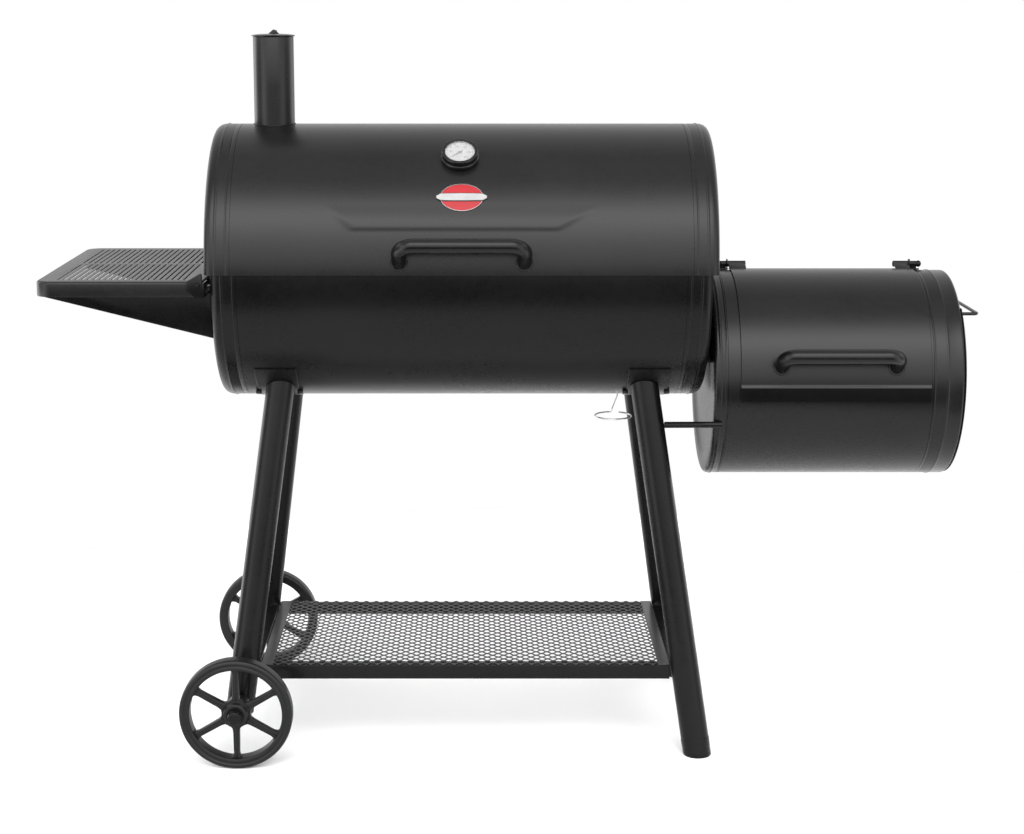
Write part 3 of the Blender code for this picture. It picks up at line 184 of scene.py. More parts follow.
class Shape:
    """Collects surfaces in one mesh. Each call names the material of what it adds."""

    def __init__(self):
        self.bm = bmesh.new()
        self.materials = []

    def index(self, material):
        if material not in self.materials:
            self.materials.append(material)
        return self.materials.index(material)

    def take(self, other, material, matrix=None):
        """Add a finished bmesh and free it."""
        bmesh.ops.remove_doubles(other, verts=other.verts, dist=1e-7)
        bmesh.ops.recalc_face_normals(other, faces=other.faces)
        slot = self.index(material)
        for face in other.faces:
            face.material_index = slot
        if matrix is not None:
            other.transform(matrix)
            if matrix.determinant() < 0:
                bmesh.ops.reverse_faces(other, faces=other.faces)
        holder = bpy.data.meshes.new("holder")
        other.to_mesh(holder)
        other.free()
        self.bm.from_mesh(holder)
        bpy.data.meshes.remove(holder)

    def loft(self, rings, material, closed_ring=True, closed_run=False, caps=True, matrix=None):
        """Skin successive rings of points."""
        part = bmesh.new()
        rows = [[part.verts.new(point) for point in ring] for ring in rings]
        pairs = list(zip(rows, rows[1:]))
        if closed_run:
            pairs.append((rows[-1], rows[0]))
        for first, second in pairs:
            count = len(first)
            for k in range(count if closed_ring else count - 1):
                after = (k + 1) % count
                part.faces.new((first[k], first[after], second[after], second[k]))
        if caps and closed_ring and not closed_run:
            part.faces.new(rows[0])
            part.faces.new(list(reversed(rows[-1])))
        self.take(part, material, matrix)

    def lathe(self, profile, material, matrix=None, steps=48, closed=False):
        """Turn an (r, h) profile round the Z axis of `matrix`."""
        rings = []
        for radius, height in profile:
            rings.append([(radius * math.cos(t), radius * math.sin(t), height)
                          for t in (2 * math.pi * k / steps for k in range(steps))])
        self.loft(rings, material, closed_run=closed, caps=False, matrix=matrix)

    def arc_sweep(self, loop, axis, start, stop, steps, material):
        """Turn a closed (x, r) loop round a barrel's axis; a full turn closes on itself."""
        full = abs(stop - start) >= 360.0
        rings = []
        for k in range(steps if full else steps + 1):
            angle = start + (stop - start) * k / steps
            rings.append([on_barrel(axis, x, r, angle) for x, r in loop])
        self.loft(rings, material, closed_run=full)

    def tube(self, path, radius, material, sides=20, closed=False, matrix=None):
        """Round bar along a path; `radius` may be one number or one for each point."""
        path = [Vector(p) for p in path]
        count = len(path)
        radii = radius if isinstance(radius, (list, tuple)) else [radius] * count
        rings = []
        normal = None
        for index, point in enumerate(path):
            before = path[index - 1] if index or closed else path[0]
            after = path[(index + 1) % count] if index < count - 1 or closed else path[-1]
            tangent = (after - before).normalized()
            if normal is None:
                normal = tangent.orthogonal().normalized()
            normal = (normal - tangent * normal.dot(tangent)).normalized()
            side = tangent.cross(normal)
            rings.append([point + (normal * math.cos(t) + side * math.sin(t)) * radii[index]
                          for t in (2 * math.pi * k / sides for k in range(sides))])
        self.loft(rings, material, closed_run=closed, matrix=matrix)

    def block(self, start, stop, material, rounding=0.0006, matrix=None, segments=2):
        """Box between two corners with rounded edges."""
        part = bmesh.new()
        bmesh.ops.create_cube(part, size=1.0)
        size = Vector(stop) - Vector(start)
        centre = (Vector(stop) + Vector(start)) / 2
        part.transform(Matrix.Translation(centre) @ Matrix.Diagonal((*size, 1.0)))
        if rounding:
            bmesh.ops.bevel(part, geom=part.edges[:], offset=rounding, segments=segments,
                            profile=0.5, affect="EDGES", clamp_overlap=True)
        self.take(part, material, matrix)

    def extrude(self, outline, start, stop, material, rounding=0.0005, matrix=None, segments=2):
        """Solid between two heights over a 2D outline, with rounded edges."""
        part = bmesh.new()
        lower = [part.verts.new((x, y, start)) for x, y in outline]
        upper = [part.verts.new((x, y, stop)) for x, y in outline]
        part.faces.new(list(reversed(lower)))
        part.faces.new(upper)
        for k in range(len(outline)):
            after = (k + 1) % len(outline)
            part.faces.new((lower[k], lower[after], upper[after], upper[k]))
        bmesh.ops.recalc_face_normals(part, faces=part.faces)
        if rounding:
            rims = [e for e in part.edges if e.calc_face_angle(0.0) > math.radians(50.0)]
            bmesh.ops.bevel(part, geom=rims, offset=rounding, segments=segments,
                            profile=0.5, affect="EDGES", clamp_overlap=True)
        self.take(part, material, matrix)

    def plate(self, outlines, start, stop, material, rounding=0.0005, matrix=None):
        """Flat plate with holes: the first outline is its rim, the others are its holes."""
        curve = bpy.data.curves.new("plate", "CURVE")
        curve.dimensions = "2D"
        curve.fill_mode = "BOTH"
        curve.extrude = max((stop - start) / 2 - rounding, 0.0)
        curve.bevel_depth = rounding
        curve.bevel_resolution = 1
        curve.offset = -rounding
        for outline in outlines:
            spline = curve.splines.new("POLY")
            spline.points.add(len(outline) - 1)
            for point, (x, y) in zip(spline.points, outline):
                point.co = (x, y, 0.0, 1.0)
            spline.use_cyclic_u = True
        part = self.from_curve(curve)
        lift = Matrix.Translation((0.0, 0.0, (start + stop) / 2))
        self.take(part, material, lift if matrix is None else matrix @ lift)

    @staticmethod
    def from_curve(curve):
        holder = bpy.data.objects.new("holder", curve)
        scene.collection.objects.link(holder)
        graph = bpy.context.evaluated_depsgraph_get()
        mesh = bpy.data.meshes.new_from_object(holder.evaluated_get(graph))
        part = bmesh.new()
        part.from_mesh(mesh)
        bpy.data.objects.remove(holder)
        bpy.data.meshes.remove(mesh)
        return part

    def bolt(self, at, direction, material, radius=0.005, height=0.0035, washer=True, sides=6, turn=0.3):
        """Bolt head (six sides) or dome (more) on a washer, its foot at `at`."""
        matrix = Matrix.Translation(at) @ Vector(direction).to_track_quat("Z", "Y").to_matrix().to_4x4()
        foot = 0.0
        if washer:
            foot = 0.0012
            self.lathe([(0.0, 0.0), (radius * 1.5, 0.0), (radius * 1.55, foot / 2), (radius * 1.5, foot),
                        (0.0, foot)], material, matrix, 24)
        if sides == 6:
            outline = [(radius * math.cos(t + turn), radius * math.sin(t + turn))
                       for t in (math.pi * k / 3 for k in range(6))]
            self.extrude(outline, foot, foot + height, material, 0.0005, matrix)
        else:
            dome = [(radius * math.cos(t), foot + height * math.sin(t)) for t in spread(0.0, math.pi / 2, 6)]
            self.lathe([(0.0, foot)] + dome, material, matrix, 24)

    def cut(self, cutter):
        """Take another shape out of this one."""
        target = self.plain_object("target", self.bm)
        tool = self.plain_object("tool", cutter.bm)
        cutter.bm.free()
        step = target.modifiers.new("cut", "BOOLEAN")
        step.operation = "DIFFERENCE"
        step.solver = "EXACT"
        step.object = tool
        graph = bpy.context.evaluated_depsgraph_get()
        result = bpy.data.meshes.new_from_object(target.evaluated_get(graph))
        self.bm.clear()
        self.bm.from_mesh(result)
        bpy.data.objects.remove(target)
        bpy.data.objects.remove(tool)
        bpy.data.meshes.remove(result)

    @staticmethod
    def plain_object(name, bm):
        mesh = bpy.data.meshes.new(name)
        bm.to_mesh(mesh)
        obj = bpy.data.objects.new(name, mesh)
        scene.collection.objects.link(obj)
        return obj

    def done(self, name, body, slot, *nodes, sharp=32.0):
        """Make the piece, let it ride on its body and stand for its CAD nodes."""
        mesh = bpy.data.meshes.new(name)
        self.bm.to_mesh(mesh)
        self.bm.free()
        for material in self.materials:
            mesh.materials.append(material)
        mesh.shade_smooth()
        mesh.set_sharp_from_angle(angle=math.radians(sharp))
        obj = bpy.data.objects.new(name, mesh)
        scene.collection.objects.link(obj)
        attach(obj, body)
        if nodes:
            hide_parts(*nodes)
        return obj


def sheet_loop(profile, thickness=SHEET):
    """Closed section of a sheet whose outer face is the profile, its back on the right."""
    profile = [Vector(p) for p in profile]
    return profile + list(reversed(offset_profile(profile, thickness)))


def frame_at(point, z_axis, x_axis=(1.0, 0.0, 0.0)):
    """Matrix at a point whose Z and X axes run along the given directions."""
    z = Vector(z_axis).normalized()
    y = z.cross(Vector(x_axis)).normalized()
    x = y.cross(z)
    return Matrix.Translation(point) @ Matrix((x, y, z)).transposed().to_4x4()


def radial_frame(axis, x, radius, angle):
    """Frame on a barrel: Z outwards, X along the barrel, Y round it upwards."""
    point = on_barrel(axis, x, radius, angle)
    out = point - Vector((x, axis.y, axis.z))
    return frame_at(point, out)


# ---------------------------------------------------------------- materials

def new_material(name):
    material = bpy.data.materials.new(name)
    material.use_nodes = True
    tree = material.node_tree
    shader = tree.nodes["Principled BSDF"]
    place = tree.nodes.new("ShaderNodeTexCoord")
    return material, tree, shader, place.outputs["Object"]


def add_noise(tree, vector, scale, detail=3.0, rough=0.55, distortion=0.0):
    node = tree.nodes.new("ShaderNodeTexNoise")
    node.inputs["Scale"].default_value = scale
    node.inputs["Detail"].default_value = detail
    node.inputs["Roughness"].default_value = rough
    node.inputs["Distortion"].default_value = distortion
    tree.links.new(vector, node.inputs["Vector"])
    return node.outputs["Fac"]


def add_ramp(tree, factor, stops):
    node = tree.nodes.new("ShaderNodeValToRGB")
    ramp = node.color_ramp
    while len(ramp.elements) < len(stops):
        ramp.elements.new(0.5)
    for element, (position, colour) in zip(ramp.elements, stops):
        element.position = position
        element.color = (*colour, 1.0)
    tree.links.new(factor, node.inputs["Fac"])
    return node.outputs["Color"]


def add_range(tree, factor, start, stop, source=(0.3, 0.7)):
    node = tree.nodes.new("ShaderNodeMapRange")
    node.inputs["From Min"].default_value = source[0]
    node.inputs["From Max"].default_value = source[1]
    node.inputs["To Min"].default_value = start
    node.inputs["To Max"].default_value = stop
    tree.links.new(factor, node.inputs["Value"])
    return node.outputs["Result"]


def add_math(tree, operation, first, second):
    node = tree.nodes.new("ShaderNodeMath")
    node.operation = operation
    for socket, value in zip(node.inputs, (first, second)):
        if isinstance(value, (int, float)):
            socket.default_value = value
        else:
            tree.links.new(value, socket)
    return node.outputs["Value"]


def add_bump(tree, shader, heights, strength, distance):
    """Bump from the sum of some height outputs."""
    total = heights[0]
    for height in heights[1:]:
        total = add_math(tree, "ADD", total, height)
    node = tree.nodes.new("ShaderNodeBump")
    node.inputs["Strength"].default_value = strength
    node.inputs["Distance"].default_value = distance
    tree.links.new(total, node.inputs["Height"])
    tree.links.new(node.outputs["Normal"], shader.inputs["Normal"])


def painted(name, dark, light, roughness, specular, grain=900.0, grain_depth=0.00005, metallic=0.0,
            coat=0.0, strength=0.5):
    """Sprayed or powder-coated finish: slow colour drift, uneven gloss and a fine pebbled skin."""
    material, tree, shader, place = new_material(name)
    drift = add_noise(tree, place, 5.0, 4.0)
    fine = add_noise(tree, place, grain, 2.0)
    dust = add_noise(tree, place, 60.0, 5.0, 0.7)
    mix = add_math(tree, "ADD", add_math(tree, "MULTIPLY", drift, 0.6), add_math(tree, "MULTIPLY", dust, 0.4))
    colour = add_ramp(tree, mix, [(0.35, dark), (0.68, light)])
    tree.links.new(colour, shader.inputs["Base Color"])
    half_drift = add_math(tree, "MULTIPLY", drift, 0.5)
    gloss = add_math(tree, "ADD", half_drift, add_math(tree, "MULTIPLY", dust, 0.5))
    tree.links.new(add_range(tree, gloss, roughness[0], roughness[1]), shader.inputs["Roughness"])
    shader.inputs["Specular IOR Level"].default_value = specular
    shader.inputs["Metallic"].default_value = metallic
    shader.inputs["Coat Weight"].default_value = coat
    shader.inputs["Coat Roughness"].default_value = 0.12
    add_bump(tree, shader, [fine], strength, grain_depth)
    return material


def grey(value, tint=0.0):
    """Neutral colour, slightly cool for a positive tint."""
    return (value * (1.0 - tint), value, value * (1.0 + tint))


SATIN = painted("satin_black", grey(0.0025), grey(0.0050), (0.25, 0.31), 0.215)
# The bowl and the door's foot look darker than the lid in the photo. The studio light doesn't give that
# shade, so they wear darker paints, and so does the side shelf's rim.
BOWL_PAINTED_SHADE = painted("bowl_black_painted_shade", grey(0.0022), grey(0.0042), (0.25, 0.31), 0.145)
FOOT_PAINTED_SHADE = painted("door_foot_painted_shade", grey(0.0018), grey(0.0034), (0.25, 0.31), 0.085)
SHELF_RIM_PAINTED_SHADE = painted("shelf_rim_painted_shade", grey(0.0040), grey(0.0070), (0.32, 0.42), 0.22)
LEG_PAINT = painted("leg_black", grey(0.0022), grey(0.0042), (0.24, 0.32), 0.135)
HANDLE_PAINT = painted("handle_black", grey(0.0028), grey(0.0056), (0.20, 0.27), 0.20, grain=1400.0)
SHELF_GREY = painted("shelf_grey", grey(0.024), grey(0.038), (0.34, 0.44), 0.32)
MESH_GREY = painted("mesh_grey", grey(0.020), grey(0.034), (0.32, 0.44), 0.34)
IRON = painted("cast_iron", grey(0.012), grey(0.030), (0.55, 0.78), 0.30, grain=420.0, grain_depth=0.0003,
               strength=0.8)
ZINC = painted("zinc_steel", grey(0.42, 0.02), grey(0.58, 0.02), (0.28, 0.42), 0.5, metallic=1.0)
BOLT = painted("bolt_steel", grey(0.03), grey(0.07), (0.30, 0.42), 0.5, metallic=0.6)
PLASTIC = painted("black_plastic", grey(0.0040), grey(0.0075), (0.34, 0.44), 0.19, grain=1600.0)
RED = painted("red_enamel", (0.24, 0.010, 0.014), (0.32, 0.015, 0.020), (0.36, 0.46), 0.2)
SILVER = painted("silver_trim", grey(0.20), grey(0.28), (0.34, 0.46), 0.5, metallic=0.9)
DIAL = painted("dial_white", grey(0.19), grey(0.23), (0.44, 0.56), 0.2)
PRINT = painted("dial_print", grey(0.010), grey(0.020), (0.50, 0.60), 0.3)
INSIDE = painted("soot_black", grey(0.007), grey(0.016), (0.50, 0.66), 0.30, grain=500.0,
                 grain_depth=0.0001)


def lens_material():
    """Clear thin lens that lets the dial show through."""
    material, tree, shader, place = new_material("lens_clear")
    smear = add_noise(tree, place, 90.0, 3.0)
    tree.links.new(add_range(tree, smear, 0.03, 0.09), shader.inputs["Roughness"])
    tree.links.new(add_ramp(tree, smear, [(0.3, grey(0.80)), (0.7, grey(0.90))]), shader.inputs["Base Color"])
    shader.inputs["Alpha"].default_value = 0.10
    return material


LENS = lens_material()


# ---------------------------------------------------------------- barrel

SEAM_ANGLE = 0.9               # where the lid's edge stands above the hinge line
RELIEF_ANGLE = 19.3
RELIEF_LEFT = (-0.185, -0.222, 8.2)     # corner x, far x, rise in degrees
RELIEF_RIGHT = (0.163, 0.213, 6.9)
RELIEF_DEPTH = 0.0016
RELIEF_EDGE = 0.0065


def lid_relief(x, angle):
    """Height of the panel pressed out of the lid's front, level below and turned up at its ends."""
    arc = LID_R * math.radians(angle - RELIEF_ANGLE)
    left_run = RELIEF_LEFT[0] - RELIEF_LEFT[1]
    left_rise = LID_R * math.radians(RELIEF_LEFT[2])
    right_run = RELIEF_RIGHT[1] - RELIEF_RIGHT[0]
    right_rise = LID_R * math.radians(RELIEF_RIGHT[2])
    left = ((x - RELIEF_LEFT[0]) * left_rise + arc * left_run) / math.hypot(left_run, left_rise)
    right = ((RELIEF_RIGHT[0] - x) * right_rise + arc * right_run) / math.hypot(right_run, right_rise)
    inside = min(arc, left, right)
    fade = 1.0 - smoothstep((angle - RELIEF_ANGLE - 2.0) / 8.5)
    return RELIEF_DEPTH * smoothstep(inside / RELIEF_EDGE + 0.5) * fade


def uneven(points):
    """Sorted list of grid lines from (start, stop, step) stretches."""
    lines = []
    for start, stop, step in points:
        count = max(1, round((stop - start) / step))
        lines += spread(start, stop, count)[:-1]
    return lines + [points[-1][1]]


def build_lid_shell():
    shape = Shape()
    joint = LID_HALF - 0.044 - GAP
    xs = uneven([(-joint, -0.24, 0.02), (-0.24, 0.24, 0.006), (0.24, joint, 0.02)])
    angles = uneven([(SEAM_ANGLE, 14.0, 1.2), (14.0, 40.0, 0.65), (40.0, 180.0 - SEAM_ANGLE, 2.2)])
    rings = []
    for angle in angles:
        outer = [on_barrel(BARREL, BARREL.x + x, LID_R + lid_relief(x, angle), angle) for x in xs]
        inner = [on_barrel(BARREL, BARREL.x + x, LID_R - SHEET + lid_relief(x, angle), angle)
                 for x in reversed(xs)]
        rings.append(outer + inner)
    shape.loft(rings, SATIN, caps=False)
    for ring in (rings[0], rings[-1]):
        half = len(xs)
        edge = [[ring[k] for k in range(half)], [ring[2 * half - 1 - k] for k in range(half)]]
        shape.loft(edge, SATIN, closed_ring=False)
    bmesh.ops.remove_doubles(shape.bm, verts=shape.bm.verts, dist=1e-7)
    bmesh.ops.recalc_face_normals(shape.bm, faces=shape.bm.faces)
    bore = Shape()
    stack = middle("smokestack")
    bore.extrude(circle(STACK_R + GAP, 48, (stack.x, 0.0)), BARREL.z + 0.2, BARREL.z + 0.3, SATIN, 0.0)
    shape.cut(bore)
    shape.done("lid_skin", "lid", "black_paint", "lid_shell")


def stamped_end_profile(half, joint, radius, corner, dish=0.0030):
    """(u, r) section of a stamped end from its joint out over the corner and in to the axis."""
    inside = radius - SHEET - GAP
    profile = [(joint - 0.006, inside), (joint + GAP / 2, inside), (joint + GAP, radius)]
    profile += bump_points(joint + 0.0077, radius, 0.004, -0.0008)
    profile += bump_points(joint + 0.0245, radius, 0.006, 0.0012)
    corner_start = half - corner
    depth = corner * 0.72
    profile += [(corner_start + corner * math.sin(t), radius - depth + depth * math.cos(t))
                for t in spread(0.0, math.pi / 2, 8)]
    profile += [(half, radius - 0.040), (half - 0.0006, radius - 0.0425),
                (half - dish + 0.0006, radius - 0.047), (half - dish, radius - 0.050)]
    profile += [(half - dish, r) for r in (0.14, 0.09, 0.045, 0.0)]
    return profile


def end_loop(profile, side, centre_x, thickness=SHEET):
    loop = sheet_loop(profile, thickness)
    return [(centre_x + side * max(u, 0.0), max(r, 0.0)) for u, r in loop]


def build_barrel_ends():
    for side, name in ((-1.0, "left"), (1.0, "right")):
        lid = Shape()
        profile = stamped_end_profile(LID_HALF, LID_HALF - 0.044, LID_R, 0.016)
        lid.arc_sweep(end_loop(profile, side, BARREL.x), BARREL, SEAM_ANGLE, 180.0 - SEAM_ANGLE, 96, SATIN)
        lid.done(f"lid_cap_{name}", "lid", "black_paint", f"lid_end_{name}")

        bowl = Shape()
        profile = stamped_end_profile(BOWL_HALF, BOWL_HALF - 0.044, BOWL_R, 0.016)
        # The bowl's end caps wear the darker bowl paint: painted shade under the lid.
        bowl.arc_sweep(end_loop(profile, side, BARREL.x), BARREL, 178.0, 362.0, 96, BOWL_PAINTED_SHADE)
        if side > 0:
            port = Shape()
            end = BARREL.x + BOWL_HALF
            port.extrude(port_outline(), end - 0.02, end + 0.01, BOWL_PAINTED_SHADE, 0.0, ACROSS)
            bowl.cut(port)
        bowl.done(f"bowl_cap_{name}", "grill", "black_paint", f"bowl_end_{name}")


def port_outline(grow=0.0, *steps):
    """Smoke port's rounded outline in YZ, larger all round by `grow`."""
    return rounded_rectangle(-0.085 - grow, 0.085 + grow, PORT_Z - 0.0575 - grow, PORT_Z + 0.0575 + grow,
                             0.030 + grow, *steps)


def build_bowl_shell():
    shape = Shape()
    joint = BOWL_HALF - 0.044 - GAP
    rim = [(u, BOWL_R) for u in spread(-joint, joint, 24)]
    loop = [(BARREL.x + u, r) for u, r in sheet_loop(rim)]
    # Darker bowl paint: painted shade under the lid's edge.
    shape.arc_sweep(loop, BARREL, 178.0, 362.0, 96, BOWL_PAINTED_SHADE)
    drain = Shape()
    hole = circle(0.006, 24, (BARREL.x + 0.2692, 0.0))
    drain.extrude(hole, BARREL.z - 0.26, BARREL.z - 0.22, BOWL_PAINTED_SHADE, 0.0)
    shape.cut(drain)
    shape.done("bowl_skin", "grill", "black_paint", "bowl_shell")


# ---------------------------------------------------------------- lid fittings

def handle_path(node, axis, foot_radius, axis_radius, angle, foot_angle, bend=0.026):
    half = (high(node).x - low(node).x) / 2 - HANDLE_TUBE
    centre = middle(node).x
    corners = [on_barrel(axis, centre - half, foot_radius, foot_angle),
               on_barrel(axis, centre - half, axis_radius, angle),
               on_barrel(axis, centre + half, axis_radius, angle),
               on_barrel(axis, centre + half, foot_radius, foot_angle)]
    return fillet(corners, bend, 12), centre, half


def build_handle(name, node, body, axis, shell_radius, axis_radius, angle, foot_angle):
    """Bent tube with a thin welded collar at each foot."""
    shape = Shape()
    path, centre, half = handle_path(node, axis, shell_radius - 0.0030, axis_radius, angle, foot_angle)
    shape.tube(path, HANDLE_TUBE, HANDLE_PAINT, 32)
    for side in (-1.0, 1.0):
        foot = radial_frame(axis, centre + side * half, shell_radius - 0.0006, foot_angle)
        flange = fillet([(HANDLE_TUBE - 0.001, 0.0), (0.0150, 0.0), (0.0146, 0.0012),
                         (HANDLE_TUBE + 0.0002, 0.0030), (HANDLE_TUBE - 0.001, 0.0030)], 0.0005, 2)
        shape.lathe([(p[0], p[1]) for p in flange], HANDLE_PAINT, foot, 32, closed=True)
    shape.done(name, body, "black_paint", node)


def gauge_frame():
    return radial_frame(BARREL, GAUGE_X, LID_R + GAP, GAUGE_ANGLE)


GAUGE_FACE = 0.0124
GAUGE_SWEEP = 270.0
GAUGE_START = -50.0            # rest place of the needle, from straight down, clockwise seen from outside


def build_gauge():
    at = gauge_frame()
    housing = Shape()
    profile = [(0.0, -0.060), (0.004, -0.060), (0.004, -0.001), (0.0322, -0.0025), (0.0326, 0.0050),
               (0.0314, 0.0066), (0.0306, 0.0072), (0.0306, 0.0112), (0.0313, 0.0120), (0.0313, 0.0148),
               (0.0302, 0.0166), (0.0290, 0.0170), (0.0264, 0.0170), (0.0254, 0.0158), (0.0250, 0.0114),
               (0.0, 0.0114)]
    rounded = [(p.x, p.y) for p in fillet(profile, 0.0009, 3)]
    housing.lathe(rounded, HANDLE_PAINT, at, 72)
    housing.done("thermometer_case", "lid", "black_plastic", "thermometer_housing")

    dial = Shape()
    dial.lathe([(0.0, 0.0116), (0.0248, 0.0116), (0.0248, GAUGE_FACE), (0.0, GAUGE_FACE)], DIAL, at, 72)
    dial.done("thermometer_face", "lid", "dial_white", "thermometer_dial")

    marks = Shape()
    count = 50
    for k in range(count + 1):
        major = k % 5 == 0
        turn = Matrix.Rotation(math.radians(GAUGE_START - GAUGE_SWEEP * k / count), 4, "Z")
        inner = 0.0195 if major else 0.0214
        wide = 0.00045 if major else 0.00022
        marks.block((-wide, -0.0236, GAUGE_FACE), (wide, -inner, GAUGE_FACE + 0.00008), PRINT, 0.0,
                    at @ turn)
    for k in range(0, 11, 2):
        angle = math.radians(GAUGE_START - GAUGE_SWEEP * k / 10)
        spot = Vector((math.sin(angle), -math.cos(angle), 0.0)) * 0.0155
        figure = bpy.data.curves.new("figure", "FONT")
        figure.body = str(50 * k // 2)
        figure.size = 0.0052
        figure.align_x = "CENTER"
        figure.align_y = "CENTER"
        figure.extrude = 0.00003
        marks.take(Shape.from_curve(figure), PRINT,
                   at @ Matrix.Translation(spot + Vector((0.0, 0.0, GAUGE_FACE + 0.00004))))
    marks.done("thermometer_scale", "lid", "black_plastic", sharp=20.0)

    lens = Shape()
    lens.lathe([(0.0, 0.0162), (0.012, 0.0161), (0.0252, 0.0156), (0.0252, 0.0152), (0.012, 0.0156),
                (0.0, 0.0157)], LENS, at, 48)
    lens.done("thermometer_lens", "lid", "dial_white")

    needle = Shape()
    turn = at @ Matrix.Rotation(math.radians(GAUGE_START), 4, "Z")
    pointer = [(-0.0006, 0.006), (0.0006, 0.006), (0.0011, 0.0), (0.0009, -0.010), (0.0, -0.0190),
               (-0.0009, -0.010), (-0.0011, 0.0)]
    needle.extrude(pointer, GAUGE_FACE + 0.0008, GAUGE_FACE + 0.0014, PRINT, 0.00012, turn)
    cap = [(0.0, 0.0006), (0.0028, 0.0006), (0.0030, 0.0013), (0.0024, 0.0020), (0.0, 0.0022)]
    needle.lathe([(r, GAUGE_FACE + h) for r, h in cap], PRINT, turn, 24)
    needle.done("needle_pointer", "needle", "leg_paint", "thermometer_needle")


def barrel_wrap(x, arc, height, angle, radius):
    """Point above the lid at a distance along it and round it from a given angle."""
    return on_barrel(BARREL, x, radius + height, angle + math.degrees(arc / radius))


def build_badge():
    """Plain oval enamel plate with a bright rim and a plain bright band across it."""
    shape = Shape()
    half_x = middle("badge_plate").x - low("badge_plate").x
    half_arc = 0.0255
    centre = middle("badge_plate").x
    steps = 64

    def ring(scale_x, scale_y, height):
        return [barrel_wrap(centre + half_x * scale_x * math.cos(t), half_arc * scale_y * math.sin(t), height,
                            BADGE_ANGLE, LID_R) for t in (2 * math.pi * k / steps for k in range(steps))]
    inset = 0.0013
    ax = 1.0 - inset / half_x
    ay = 1.0 - inset / half_arc
    rim = [ring(1.0, 1.0, 0.0001), ring(1.0, 1.0, 0.0015), ring(0.99, 0.985, 0.0021),
           ring(ax + 0.008, ay + 0.012, 0.0021), ring(ax, ay, 0.0012)]
    shape.loft(rim, SILVER, caps=False)
    field = [ring(ax * s, ay * s, 0.0012 + 0.0005 * (1.0 - s * s)) for s in (1.0, 0.85, 0.65, 0.4, 0.2)]
    shape.loft(field, RED, caps=False)
    middle_cap = [ring(ax * s, ay * s, 0.0012 + 0.0005 * (1.0 - s * s)) for s in (0.2, 0.02)]
    shape.loft(middle_cap, RED, caps=False)
    band_x = 0.0423
    band_arc = 0.0070
    for tone, grow, bottom, top in ((PRINT, 0.0010, 0.0003, 0.0024), (SILVER, 0.0, 0.0010, 0.0030)):
        columns = spread(-band_x - grow, band_x + grow, 24)
        rings = []
        for u in columns:
            taper = 1.0 - 0.12 * (abs(u) / band_x) ** 2 - 0.55 * smoothstep((abs(u) / band_x - 0.84) / 0.16)
            tall = (band_arc + grow) * taper
            section = [(-tall, bottom), (tall, bottom), (tall, top - 0.0006), (tall - 0.0006, top),
                       (-tall + 0.0006, top), (-tall, top - 0.0006)]
            rings.append([barrel_wrap(centre + u, arc, h, BADGE_ANGLE, LID_R) for arc, h in section])
        shape.loft(rings, tone)
    shape.done("badge_oval", "lid", "red_enamel", "badge_plate")


def build_stack():
    shape = Shape()
    x = middle("smokestack").x
    rim_z = STACK_TOP
    steps = 64
    inner_r = STACK_R - SHEET
    bottom = BARREL.z + LID_R - 0.018

    def ring(radius, z):
        return [(x + radius * math.cos(t), radius * math.sin(t), z)
                for t in (2 * math.pi * k / steps for k in range(steps))]

    rings = [ring(STACK_R, bottom), ring(STACK_R, (bottom + rim_z) / 2), ring(STACK_R, rim_z - 0.0008),
             ring(STACK_R - 0.0003, rim_z - 0.0001), ring(STACK_R - SHEET / 2, rim_z),
             ring(inner_r + 0.0003, rim_z - 0.0001), ring(inner_r, rim_z - 0.0008), ring(inner_r, bottom)]
    shape.loft(rings, SATIN, closed_run=True)
    bead = []
    for k in range(96):
        turn = 2 * math.pi * k / 96
        y = (STACK_R + 0.0008) * math.sin(turn)
        wobble = 0.0004 * noise.noise((k * 0.9, 0.0, 0.0)) if k else 0.0
        bead.append((x + (STACK_R + 0.0008) * math.cos(turn), y,
                     BARREL.z + math.sqrt(LID_R ** 2 - y ** 2) + 0.0004 + wobble))
    shape.tube(bead, 0.0011, LEG_PAINT, 10, closed=True)
    pivot_y = CAP_PIVOT_Y
    shape.block((x - 0.008, STACK_R - 0.001, rim_z - 0.0025), (x + 0.008, pivot_y + 0.006, rim_z - GAP / 2),
                SATIN, 0.0005)
    pin = [(0.0, rim_z - 0.006), (0.0025, rim_z - 0.006), (0.0025, rim_z + 0.0100),
           (0.0018, rim_z + 0.0106), (0.0, rim_z + 0.0106)]
    shape.lathe(pin, BOLT, Matrix.Translation((x, pivot_y, 0.0)), 20)
    shape.bolt((x, pivot_y, rim_z - 0.0026), (0.0, 0.0, -1.0), BOLT, 0.0042, 0.0030)
    shape.done("stack_pipe", "lid", "black_paint", "smokestack")

    cap = Shape()
    radius = 0.0380
    rise = 0.0032
    dome = [(radius * math.sin(t), GAP + 0.0016 + (rise - 0.0001) * math.cos(t))
            for t in spread(0.0, math.pi / 2, 12)]
    under = [(radius - 0.0004, GAP), (0.020, rise - 0.0008), (0.0, rise)]
    profile = dome + under
    at = Matrix.Translation((x, 0.0, rim_z))
    cap.lathe(profile, SATIN, at, 72)
    outline = [(-0.0095, 0.0), (0.0115, 0.0), (0.0110, 0.0015), (0.0030, 0.0085), (0.0015, 0.0092),
               (-0.0005, 0.0086), (-0.0090, 0.0015)]
    upright = at @ Matrix.Translation((0.0, 0.0, rise)) @ Matrix.Rotation(math.pi / 2, 4, "X")
    cap.extrude(outline, -0.0008, 0.0008, SATIN, 0.0003, upright)
    cap.lathe([(0.0030, 0.0007), (0.0080, 0.0007), (0.0080, 0.0016), (0.0030, 0.0016)], SATIN,
              Matrix.Translation((x, pivot_y, rim_z)), 32, closed=True)
    cap.block((x - 0.006, STACK_R - 0.004, rim_z + 0.0007), (x + 0.006, pivot_y - 0.003, rim_z + 0.0016),
              SATIN, 0.0003)
    cap.done("stack_flap_lid", "stack_flap", "leg_paint", "stack_cap")



